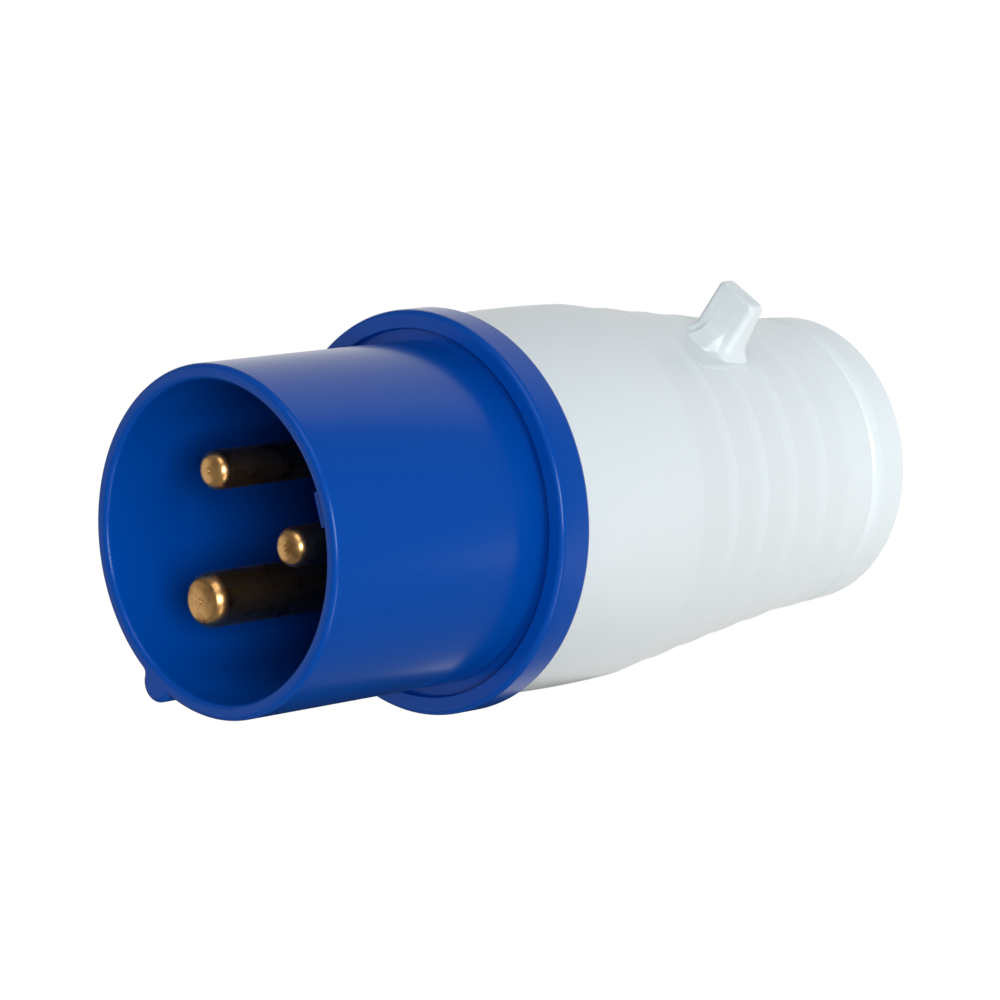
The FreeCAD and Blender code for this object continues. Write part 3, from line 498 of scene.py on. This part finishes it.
# Grey nylon of the inner parts, moulded in a spark-eroded tool: nearly matt
INNER = moulded("moulded_grey_polyamide", "#C9CCCB", 0.4)
# Black nitrile rubber, pressed in a hot mould: dull, and dark at every angle
RUBBER = moulded("moulded_black_rubber", "#141518", 0.62)
# Free-cutting brass (CZ121), turned from bar: brown gold with a soft shine and tarnished blotches
BRASS = worked_metal("turned_brass", "#EDB976", "#9A7044", 0.3, 0.4)
# Mild steel screws, zinc plated in a barrel: cool light grey, slightly cloudy
STEEL = worked_metal("zinc_plated_steel", "#B9BCBE", "#A7A9A6", 0.3, 0.5)
# Phosphor bronze strip, cold rolled: red-brown with a low shine
BRONZE = worked_metal("rolled_spring_bronze", "#B98A52", "#8A6236", 0.35, 0.5)


# Pins

def pin_place(angle):
    """Where a pin stands: its own X axis points away from the plug's axis."""
    turn = Matrix.Rotation(math.radians(angle), 4, "Z")
    return turn @ Matrix.Translation((pin_circle_radius * MM, 0.0, 0.0))


def contact_pin(name, angle, radius, tip_depth, tip_length, overhang):
    """A turned brass pin with its rounded tip, root, flange and terminal barrel."""
    tip = MOUTH - tip_depth
    crown = tip - pin_tip_dome
    face = radius - pin_tip_fall
    side = arc_through((radius, crown - tip_length),
                       (face + pin_tip_fall * TIP_SIDE_OUT, crown - tip_length * TIP_SIDE_DOWN),
                       (face, crown), 10)
    dome = [(face * math.sqrt(1 - share), crown + pin_tip_dome * share) for share in (0.3, 0.6, 0.85)]
    barrel = radius + overhang
    flange = radius + flange_overhang
    root = radius + root_overhang
    rear = CARRIER_REAR - barrel_length
    low = rounded([
        (0.0, rear), (barrel, rear, 0.4), (barrel, CARRIER_REAR), (flange, CARRIER_REAR, lathe_edge),
        (flange, CARRIER_REAR + flange_thickness, lathe_edge), (root, CARRIER_REAR + flange_thickness),
        (root, FLOOR), (radius, FLOOR)])
    pip = rounded([dome[-1], (pip_radius, tip), (pip_radius - 0.05, tip + pip_height, 0.06),
                   (0.0, tip + pip_height)])
    blank = welded(turned(name, low + side + dome[:-1] + pip, segments=96))
    wire = turned("wire_hole", [(0.0, rear - 1), (wire_hole_radius, rear - 1),
                                (wire_hole_radius, rear + wire_hole_depth),
                                (0.0, rear + wire_hole_depth + drill_point)], segments=48)
    screw = turned("screw_hole", [(0.0, 0.0), (screw_hole_radius, 0.0), (screw_hole_radius, barrel + 1),
                                  (0.0, barrel + 1)], segments=48)
    across = Matrix.Rotation(math.radians(90), 4, "Y")
    screw.transform(Matrix.Translation((0.0, 0.0, (rear + terminal_screw_place) * MM)) @ across)
    pin = combined(blank, "DIFFERENCE", welded(wire), welded(screw))
    pin.transform(pin_place(angle))
    return pin


# Front sleeve

def key_stations():
    """Stations of the key from its -X foot to its +X foot: centre, radius, direction in degrees and
    +1 for a bulge or -1 for a hollow."""
    bead = Vector((0.0, key_width / 2 - sleeve_radius - key_height))
    bead_radius = key_width / 2
    outer = sleeve_radius + key_foot_round
    near = bead_radius + key_foot_round
    foot_y = (outer ** 2 - near ** 2 + bead.y ** 2) / (2 * bead.y)
    foot = Vector((math.sqrt(outer ** 2 - foot_y ** 2), foot_y))
    at_sleeve = math.degrees(math.atan2(-foot.y, -foot.x))
    at_bead = math.degrees(math.atan2(bead.y - foot.y, bead.x - foot.x))
    at_sleeve = at_bead + math.remainder(at_sleeve - at_bead, 360)
    right = [(foot, key_foot_round, at_bead + (at_sleeve - at_bead) * step / 8, -1)
             for step in range(1, 9)]
    lean = math.degrees(math.atan2(foot.y - bead.y, foot.x - bead.x))
    arc = [(bead, bead_radius, -180 - lean + (2 * lean + 180) * step / 24, 1)
           for step in range(25)]
    left = [(Vector((-centre.x, centre.y)), radius, 180 - turn, side)
            for centre, radius, turn, side in reversed(right)]
    return left + arc + right


def sleeve_stations():
    """Stations round the sleeve: (centre, radius, direction, side, place across the guide rib)."""
    key = key_stations()
    origin = Vector((0.0, 0.0))
    first = math.degrees(math.atan2(key[-1][0].y, key[-1][0].x))
    last = 180 - first
    half = math.degrees(math.atan2(guide_width / 2, GUIDE_FACE))
    step = 360 / ROUND_SEGMENTS
    angles = []
    count = math.ceil((last - first) / step)
    for index in range(1, count):
        angle = first + (last - first) * index / count
        if abs(angle - guide_angle) > half + guide_turn_gap:
            angles.append((angle, None))
    across = [-1.0, -1.0, -0.98, -0.94, -0.5, 0.0, 0.5, 0.94, 0.98, 1.0, 1.0]
    depth = [0.0, 0.7, 0.93, 1.0, 1.0, 1.0, 1.0, 1.0, 0.93, 0.7, 0.0]
    for number, (share, deep) in enumerate(zip(across, depth)):
        slant = math.degrees(math.atan2(share * guide_width / 2, GUIDE_FACE)) + (number - 5) * 0.01
        angles.append((guide_angle + slant, (share * guide_width / 2, deep)))
    angles.sort()
    round_part = [(origin, sleeve_radius, angle, 1, rib) for angle, rib in angles]
    return [station + (None,) for station in key] + round_part


def point_out(station, inset):
    """A station's place on the sleeve's outside, moved into the wall by the inset."""
    centre, radius, turn, side, _ = station
    reach = radius - side * inset
    a = math.radians(turn)
    return centre + Vector((math.cos(a), math.sin(a))) * reach


def bearing(station):
    """Direction of a station from the plug's axis, in radians."""
    place = point_out(station, 0.0)
    return math.atan2(place.y, place.x)


def front_sleeve():
    """The blue moulding, as rings of matched stations from the carrier's rear round the outside and
    back down to the carrier's front."""
    stations = sleeve_stations()
    bearings = [bearing(station) for station in stations]
    count = len(stations)
    points = []
    rings = []

    def ring(place_of):
        rings.append(len(points))
        points.extend(place_of(index) for index in range(count))

    def circle(radius, height):
        ring(lambda i: (radius * math.cos(bearings[i]), radius * math.sin(bearings[i]), height))

    def rounding(radius, height, size, start, stop, steps=6):
        """Circles along a quarter round whose centre is at (radius, height)."""
        for step in range(steps + 1):
            a = math.radians(start + (stop - start) * step / steps)
            circle(radius + size * math.cos(a), height + size * math.sin(a))

    in_groove = [point_out(s, 0.0).length < sleeve_radius + recess_width - 1e-4 for s in stations]

    def groove(radius, height):
        def place_of(i):
            if in_groove[i]:
                return (radius * math.cos(bearings[i]), radius * math.sin(bearings[i]), height)
            place = point_out(stations[i], 0.0)
            return (place.x, place.y, COLLAR_FRONT)
        ring(place_of)

    def outside(inset, height):
        def place_of(i):
            place = point_out(stations[i], inset)
            return (place.x, place.y, height if in_groove[i] else max(height, COLLAR_FRONT))
        ring(place_of)

    def inside(height, ribbed, spare=0.0):
        narrow = sleeve_draft * (MOUTH - rim_round - height) / (MOUTH - rim_round - FLOOR)
        radius = sleeve_radius - sleeve_wall - max(0.0, narrow) - spare
        lean = math.radians(guide_angle)

        def place_of(i):
            rib = stations[i][4]
            if rib is None:
                return (radius * math.cos(bearings[i]), radius * math.sin(bearings[i]), height)
            across, deep = rib
            wall = math.sqrt(radius ** 2 - across ** 2)
            along = wall + (GUIDE_FACE - wall) * deep if ribbed else wall
            x = along * math.cos(lean) - across * math.sin(lean)
            y = along * math.sin(lean) + across * math.cos(lean)
            return (x, y, height)
        ring(place_of)

    recess_edge = sleeve_radius + recess_width
    circle(spigot_inside * 0.5, CARRIER_REAR)
    circle(spigot_inside, CARRIER_REAR)
    rounding(spigot_inside + 0.3, SPIGOT_REAR + 0.3, 0.3, 180, 270, 3)
    rounding(spigot_radius - 0.6, SPIGOT_REAR + 0.6, 0.6, 270, 360, 4)
    circle(spigot_radius, COLLAR_REAR)
    rounding(collar_radius - collar_round, COLLAR_REAR + collar_round, collar_round, 270, 360)
    rounding(collar_radius - collar_round, COLLAR_FRONT - collar_round, collar_round, 0, 90)
    groove(recess_edge + mould_edge, COLLAR_FRONT)
    groove(recess_edge, COLLAR_FRONT - mould_edge)
    groove(recess_edge, RECESS_FLOOR + mould_edge)
    groove(recess_edge - mould_edge, RECESS_FLOOR)
    outside(0.0, RECESS_FLOOR)
    outside(0.0, COLLAR_FRONT)
    levels = 12
    for level in range(1, levels + 1):
        outside(0.0, COLLAR_FRONT + (MOUTH - rim_round - COLLAR_FRONT) * level / levels)
    for step in range(1, 7):
        a = math.radians(90 * step / 6)
        outside(rim_round * (1 - math.cos(a)), MOUTH - rim_round + rim_round * math.sin(a))
    inner_edge = sleeve_radius - sleeve_wall + rim_round
    for step in range(7):
        a = math.radians(90 + 90 * step / 6)
        circle(inner_edge + rim_round * math.cos(a), MOUTH - rim_round + rim_round * math.sin(a))
    inside(MOUTH - guide_setback, False)
    inside(MOUTH - guide_setback, True)
    for level in range(1, levels):
        inside(MOUTH - guide_setback - (floor_depth - guide_setback - floor_round) * level / levels, True)
    for step in range(4):
        a = math.radians(90 * step / 3)
        inside(FLOOR + floor_round * (1 - math.sin(a)), True, floor_round * (1 - math.cos(a)))
    circle((sleeve_radius - sleeve_wall) * 0.5, FLOOR)
    faces = []
    for low, high in zip(rings, rings[1:]):
        for i in range(count):
            j = (i + 1) % count
            corners = [low + i, low + j, high + j, high + i]
            spots = {tuple(round(v, 5) for v in points[c]) for c in corners}
            if len(spots) > 2:
                faces.append(corners)
    faces.append(list(range(rings[0], rings[0] + count)))
    faces.append(list(range(rings[-1], rings[-1] + count)))
    shell = welded(new_mesh("front_sleeve", points, faces))
    cutters = []
    for _, angle, radius, _, _, _ in PINS:
        pocket = radius + flange_overhang + flange_gap
        inside_radius = radius + root_overhang + root_gap
        hole = turned("pin_hole", [
            (0.0, CARRIER_REAR - 1), (pocket, CARRIER_REAR - 1),
            (pocket, CARRIER_REAR + flange_thickness),
            (inside_radius, CARRIER_REAR + flange_thickness),
            (inside_radius, FLOOR + 1), (0.0, FLOOR + 1)], segments=64)
        hole.transform(pin_place(angle))
        cutters.append(welded(hole))
    cutters.append(welded(turned("screw_hole", [
        (0.0, CARRIER_REAR - 1), (pilot_radius, CARRIER_REAR - 1),
        (pilot_radius, CARRIER_REAR + pilot_depth), (0.0, CARRIER_REAR + pilot_depth)], segments=48)))
    return combined(shell, "DIFFERENCE", *cutters)


# Rear housing

def taper_radius(place):
    """Radius of the hollow taper at a distance from the front face, without its steps."""
    share = (place - taper_start) / (grip_places[-1] - taper_start)
    straight = taper_start_radius + (grip_end_radius - taper_start_radius) * share
    return straight - 4 * taper_sag * share * (1 - share)


def rear_housing():
    """The white moulding: barrel-shaped front, hollow taper with its grip steps, threaded stub, and
    the lid's nose on its pad."""
    wall = [(stub_radius - thread_depth, SHOULDER), (housing_rear_radius, SHOULDER, 0.25)]
    for place in reversed(grip_places):
        rear = place + grip_fall
        front = place - grip_rise
        wall.append((taper_radius(rear) + grip_step / 2, COLLAR_REAR - rear, 2.5))
        wall.append((taper_radius(front) - grip_step / 2, COLLAR_REAR - front, 9.0))
    rest = rounded([(stub_radius - thread_depth - 2, SHOULDER)] + wall[1:] + [
        (taper_start_radius, COLLAR_REAR - taper_start)])
    barrel = arc_through((taper_start_radius, COLLAR_REAR - taper_start),
                         (housing_belly_radius, COLLAR_REAR - housing_belly_place),
                         (housing_front_radius, COLLAR_REAR), 40)
    front = rounded([barrel[-2], (housing_front_radius, COLLAR_REAR, 0.2),
                     (seal_rebate_radius, COLLAR_REAR, 0.12), (seal_rebate_radius, SEAL_REAR),
                     (bore_radius, SEAL_REAR, 0.2), (bore_radius, bore_end), (cavity_radius, bore_end),
                     (cavity_radius, COLLAR_REAR - taper_start),
                     (cavity_rear_radius, GLAND_WALL_REAR + gland_wall),
                     (gland_hole_radius, GLAND_WALL_REAR + gland_wall, 0.3),
                     (gland_hole_radius, GLAND_WALL_REAR, 0.3),
                     (gland_bore_radius, GLAND_WALL_REAR), (gland_bore_radius, STUB_REAR, 0.3),
                     (stub_radius - thread_depth, STUB_REAR)])
    open_wall = [wall[0][:2]] + rest[1:-1] + barrel[:-2] + front
    shell = welded(turned("rear_housing", open_wall, closed=False),
                   threaded("stub_thread", stub_radius - thread_depth, thread_depth,
                            STUB_REAR, SHOULDER, 0.0))
    return combined(shell, "UNION", nose_pad(), lid_nose())


def loft(name, rings):
    """A closed mesh through rings of equally many points, with a face over each end."""
    count = len(rings[0])
    faces = []
    for level in range(len(rings) - 1):
        low = level * count
        high = low + count
        for i in range(count):
            j = (i + 1) % count
            faces.append((low + i, low + j, high + j, high + i))
    faces.append(tuple(range(count)))
    faces.append(tuple(range((len(rings) - 1) * count, len(rings) * count)))
    return welded(new_mesh(name, [point for ring in rings for point in ring], faces))


def nose_pad():
    """The low pad that the nose stands on, bent round the housing, with its edges rounded."""
    front = COLLAR_REAR - nose_pad_front
    rear = front - nose_pad_length
    middle_radius = taper_radius(nose_pad_front + nose_pad_length / 2)
    half = middle_radius * math.radians(nose_pad_angle / 2)
    rings = []
    for rise, inset in ((-1.0, 0.0), (0.0, 0.0), (0.45, 0.12), (0.8, 0.3), (1.0, 0.6)):
        outline = rounded([(-half + inset, rear + inset, 0.8), (half - inset, rear + inset, 0.8),
                           (half - inset, front - inset, 0.8), (-half + inset, front - inset, 0.8)])
        ring = []
        for across, along in outline:
            reach = taper_radius(COLLAR_REAR - along) + nose_pad_height * rise
            angle = math.pi / 2 - across / middle_radius
            ring.append((reach * math.cos(angle), reach * math.sin(angle), along))
        rings.append(ring)
    return loft("nose_pad", rings)


def nose_front(y, surface):
    """How far in front of its rear face the nose reaches at one height."""
    share = (y - surface) / nose_height
    return nose_foot_thickness + (nose_top_thickness - nose_foot_thickness) * share


def nose_section(y, surface, swell):
    """The outline of blade and rib at one height, grown by the swell at its foot."""
    top = surface + nose_height
    half = nose_width / 2 + swell
    nose_rear = COLLAR_REAR - nose_rear_place
    rear = nose_rear - swell * 0.5
    front = nose_rear + nose_front(y, surface) + swell
    rib_top = top - buttress_drop
    rib_foot = taper_radius(nose_rear_place - buttress_start - buttress_reach)
    hollow = arc_through((rib_top, buttress_start),
                         (rib_foot + (rib_top - rib_foot) * RIB_HOLLOW_UP,
                          buttress_start + buttress_reach * RIB_HOLLOW_OUT),
                         (rib_foot, buttress_start + buttress_reach), 40)
    ridge = front + 0.02
    for (y0, z0), (y1, z1) in zip(hollow, hollow[1:]):
        if y1 <= y <= y0:
            ridge = max(ridge, nose_rear + z0 + (z1 - z0) * (y0 - y) / (y0 - y1) + swell * 1.1)
    if y < hollow[-1][0]:
        ridge = nose_rear + buttress_start + buttress_reach
    crown = buttress_width / 2 + swell * 0.9
    round_rib = min(0.5, (ridge - front) * 0.45)
    return rounded([
        (-half, rear, 0.15), (half, rear, 0.15), (half, front, nose_corner_round),
        (crown, front, 0.01 + round_rib), (crown, ridge, round_rib),
        (-crown, ridge, round_rib), (-crown, front, 0.01 + round_rib),
        (-half, front, nose_corner_round)])


def lid_nose():
    """The wedge-shaped blade with its rounded corners, and the hollow-fronted rib before it, which
    both sweep out into the pad at their foot."""
    surface = taper_radius(nose_rear_place)
    top = surface + nose_height
    rib_top = top - buttress_drop
    foot = surface + nose_pad_height
    levels = [surface - 1]
    levels += [foot + (rib_top - foot) * step / 30 for step in range(31)]
    levels += [rib_top + 0.05, (rib_top + top) / 2, top - nose_corner_round]
    rings = []
    for y in levels:
        swell = nose_sweep * max(0.0, min(1.0, (foot + nose_sweep_height - y) / nose_sweep_height)) ** 2
        rings.append([(x, y, z) for x, z in nose_section(y, surface, swell)])
    rear = COLLAR_REAR - nose_rear_place
    last = rings[-1]
    half = max(x for x, _, _ in last)
    for step in range(1, 9):
        a = math.radians(90 * step / 8)
        y = top - nose_corner_round + nose_corner_round * math.sin(a)
        pull = nose_corner_round * (1 - math.cos(a))
        front = rear + nose_front(top - nose_corner_round, surface)
        thickness = front - rear
        ring = []
        for x, _, z in last:
            place = rear + (z - rear) * (thickness - nose_edge_share * pull) / thickness
            ring.append((x * (half - pull) / half, y, place))
        rings.append(ring)
    return loft("lid_nose", rings)


# Gland nut

def gland_nut():
    """White cap nut, with the thread inside that runs on the housing's stub."""
    outline = rounded([
        (nut_inside, NUT_WALL), (nut_hole_radius, NUT_WALL, 0.2), (nut_hole_radius, 0.0, nut_hole_round),
        (nut_foot_radius, 0.0, nut_bevel_round), (nut_rear_radius, nut_bevel_length, nut_bevel_round),
        (nut_radius, NUT_FRONT, nut_front_round),
        (nut_inside, NUT_FRONT)])
    return welded(turned("gland_nut", outline, closed=False),
                  threaded("nut_thread", nut_inside, nut_thread_gap - thread_depth,
                           NUT_WALL, NUT_FRONT, 0.5))


# Dressing the frame

def dress(name, mesh, finish, body, node, sharp=35.0):
    """Puts a finished mesh on its body in place of its CAD node."""
    mesh.materials.clear()
    mesh.materials.append(finish)
    mesh.shade_smooth()
    mesh.set_sharp_from_angle(angle=math.radians(sharp))
    piece = new_object(name, mesh)
    piece.modifiers.new("corner_light", "WEIGHTED_NORMAL").keep_sharp = True
    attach(piece, body)
    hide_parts(node)
    return piece


dress("blue_sleeve", front_sleeve(), BLUE, "root", "front_sleeve")
dress("white_housing", rear_housing(), WHITE, "root", "rear_housing")
dress("white_nut", gland_nut(), WHITE, "nut", "gland_nut")
for pin in PINS:
    dress(pin[0] + "_contact_pin", contact_pin(*pin), BRASS, "root", pin[0] + "_pin")

# The inner pieces keep their CAD solids, and are only given their finishes
CAD_FINISHES = {
    "_screw": STEEL, "_wire_guard": BRONZE, "pin_retainer": INNER,
    "cord_clamp_saddle": INNER, "front_seal": RUBBER, "gland_grommet": RUBBER, "thrust_washer": INNER,
}
for node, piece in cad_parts.items():
    for ending, finish in CAD_FINISHES.items():
        if node.endswith(ending):
            piece.data.materials.clear()
            piece.data.materials.append(finish)


# Camera: a long lens that looks at the plug as the photograph does, given by where the mouth's centre
# lies in the picture, how far away it is, and how the plug's axis runs away from the camera
LENS = 162.0
SENSOR = 36.0
PICTURE = 1000
MOUTH_PIXEL = (212.63, 542.90)
MOUTH_DISTANCE = 548.73
AXIS_YAW = 45.05
AXIS_PITCH = 5.873
CLOCK_TURN = 216.0


def camera_frame():
    """The camera's place and its right, up and back directions, in the plug's own frame."""
    yaw = math.radians(AXIS_YAW)
    pitch = math.radians(AXIS_PITCH)
    axis = Vector((math.sin(yaw) * math.cos(pitch), -math.sin(pitch), math.cos(yaw) * math.cos(pitch)))
    up = Vector((0.0, -1.0, 0.0))
    up = (up - up.dot(axis) * axis).normalized()
    side = up.cross(axis)
    turn = math.radians(CLOCK_TURN)
    rows = Matrix((
        math.cos(turn) * side + math.sin(turn) * up,
        math.cos(turn - math.pi / 2) * side + math.sin(turn - math.pi / 2) * up,
        -axis))
    focal = LENS / SENSOR * PICTURE
    mouth = Vector(((MOUTH_PIXEL[0] - PICTURE / 2) / focal, (MOUTH_PIXEL[1] - PICTURE / 2) / focal, 1.0))
    place = Vector((0.0, 0.0, MOUTH)) - rows @ (mouth * MOUTH_DISTANCE)
    right = rows @ Vector((1.0, 0.0, 0.0))
    above = rows @ Vector((0.0, -1.0, 0.0))
    back = rows @ Vector((0.0, 0.0, -1.0))
    return place, right, above, back


EYE, RIGHT, ABOVE, BACK = camera_frame()


def facing(place, right, above, back):
    """A world matrix from a place in millimetres and three directions."""
    turn = Matrix((right, above, back)).transposed().to_4x4()
    return Matrix.Translation(place * MM) @ turn


lens = bpy.data.cameras.new("camera")
lens.lens = LENS
lens.sensor_width = SENSOR
lens.clip_end = 10.0
camera = bpy.data.objects.new("camera", lens)
camera.matrix_world = facing(EYE, RIGHT, ABOVE, BACK)
bpy.context.scene.collection.objects.link(camera)
bpy.context.scene.camera = camera


# Studio: the front lamp shapes the form, the upper and lower ones fill, and the back one serves the
# other sides. The sheet's white share and its strength make it pure white where no shadow falls.

MIDDLE = Vector((0.0, 0.0, 60.0))
SHEET_SHARE = 0.93
SHEET_STRENGTH = 1.06
APRON_REACH = 3000.0


def soft_light(name, across, above, towards, distance, size, strength, colour):
    """A square soft lamp that looks at the plug's middle. Its direction is given as the camera sees
    it: to the right, above, and towards the camera. Strength is its brightness, where 1 is white."""
    direction = (RIGHT * across + ABOVE * above + BACK * towards).normalized()
    lamp = bpy.data.lights.new(name, "AREA")
    lamp.shape = "SQUARE"
    lamp.size = size * MM
    lamp.energy = strength * (size * MM) ** 2 * math.pi
    lamp.color = linear(colour)[:3]
    holder = bpy.data.objects.new(name, lamp)
    aim = direction.to_track_quat("Z", "Y").to_matrix().to_4x4()
    holder.matrix_world = Matrix.Translation((MIDDLE + direction * distance) * MM) @ aim
    bpy.context.scene.collection.objects.link(holder)
    return holder


soft_light("front_lamp", 0.2, -0.02, 0.98, 900.0, 360.0, 12.4, "#F0F8FF")
soft_light("upper_lamp", -0.1, 0.7, 0.7, 900.0, 500.0, 1.8, "#FFFFFF")
soft_light("back_lamp", -0.86, -0.1, -0.24, 700.0, 500.0, 0.45, "#FFFFFF")
soft_light("lower_lamp", 0.45, -0.65, 0.6, 900.0, 500.0, 2.6, "#FFF4E6")

world = bpy.data.worlds.new("studio")
world.use_nodes = True
world.node_tree.nodes["Background"].inputs["Color"].default_value = (0.2, 0.2, 0.2, 1.0)
bpy.context.scene.world = world


def studio_floor():
    """A white sheet under the plug, whose two near edges are where the photograph's reflections end.
    The apron below it carries on the floor for views from other sides, and isn't mirrored."""
    lean = math.radians(56.0)
    out = Vector((math.cos(lean), math.sin(lean), 0.0))
    along = Vector((-out.y, out.x, 0.0))
    corners = [out * a + along * b for a, b in ((84, -85), (84, 260), (-320, 260), (-320, -85))]
    sheet = new_object("studio_floor", new_mesh("studio_floor", corners, [(0, 1, 2, 3)]))
    finish = bpy.data.materials.new("white_sheet")
    finish.use_nodes = True
    tree = finish.node_tree
    tree.nodes.clear()
    path = add(tree, "ShaderNodeLightPath")
    seen = add(tree, "ShaderNodeMath", {
        0: path.outputs["Is Camera Ray"], 1: path.outputs["Is Glossy Ray"]}, operation="MAXIMUM")
    shown = add(tree, "ShaderNodeMath", {
        0: seen, 1: path.outputs["Is Transmission Ray"]}, operation="MAXIMUM")
    glow = add(tree, "ShaderNodeMath", {0: shown, 1: SHEET_SHARE}, operation="MULTIPLY")
    paper = add(tree, "ShaderNodeBsdfDiffuse", {"Color": linear("#E8E8E8")})
    white = add(tree, "ShaderNodeEmission", {
        "Color": (1.0, 1.0, 1.0, 1.0), "Strength": SHEET_STRENGTH})
    both = add(tree, "ShaderNodeMixShader", {0: glow, 1: paper, 2: white})
    add(tree, "ShaderNodeOutputMaterial", {"Surface": both})
    sheet.data.materials.append(finish)
    wide = [(APRON_REACH * a, APRON_REACH * b, -0.3) for a, b in ((-1, -1), (1, -1), (1, 1), (-1, 1))]
    apron = new_object("studio_apron", new_mesh("studio_apron", wide, [(0, 1, 2, 3)]))
    apron.data.materials.append(finish)
    apron.visible_diffuse = False
    apron.visible_glossy = False


def dark_card():
    """A dark card lying below the plug in the picture, which only shiny faces see. It gives the
    sleeve and the pins their dark lower edges, as in the photograph."""
    down = Vector((-ABOVE.x, -ABOVE.y, 0.0)).normalized()
    away = Vector((-BACK.x, -BACK.y, 0.0)).normalized()
    corners = [down * a + away * b + Vector((0.0, 0.0, 0.3))
               for a, b in ((20, 40), (20, 320), (260, 320), (260, 40))]
    card = new_object("dark_card", new_mesh("dark_card", corners, [(0, 1, 2, 3)]))
    finish = bpy.data.materials.new("black_card")
    finish.use_nodes = True
    shader = finish.node_tree.nodes["Principled BSDF"]
    shader.inputs["Base Color"].default_value = linear("#101216")
    shader.inputs["Roughness"].default_value = 0.9
    card.data.materials.append(finish)
    card.visible_camera = False
    card.visible_diffuse = False
    card.visible_shadow = False


studio_floor()
dark_card()
bpy.context.scene.view_settings.view_transform = "Standard"
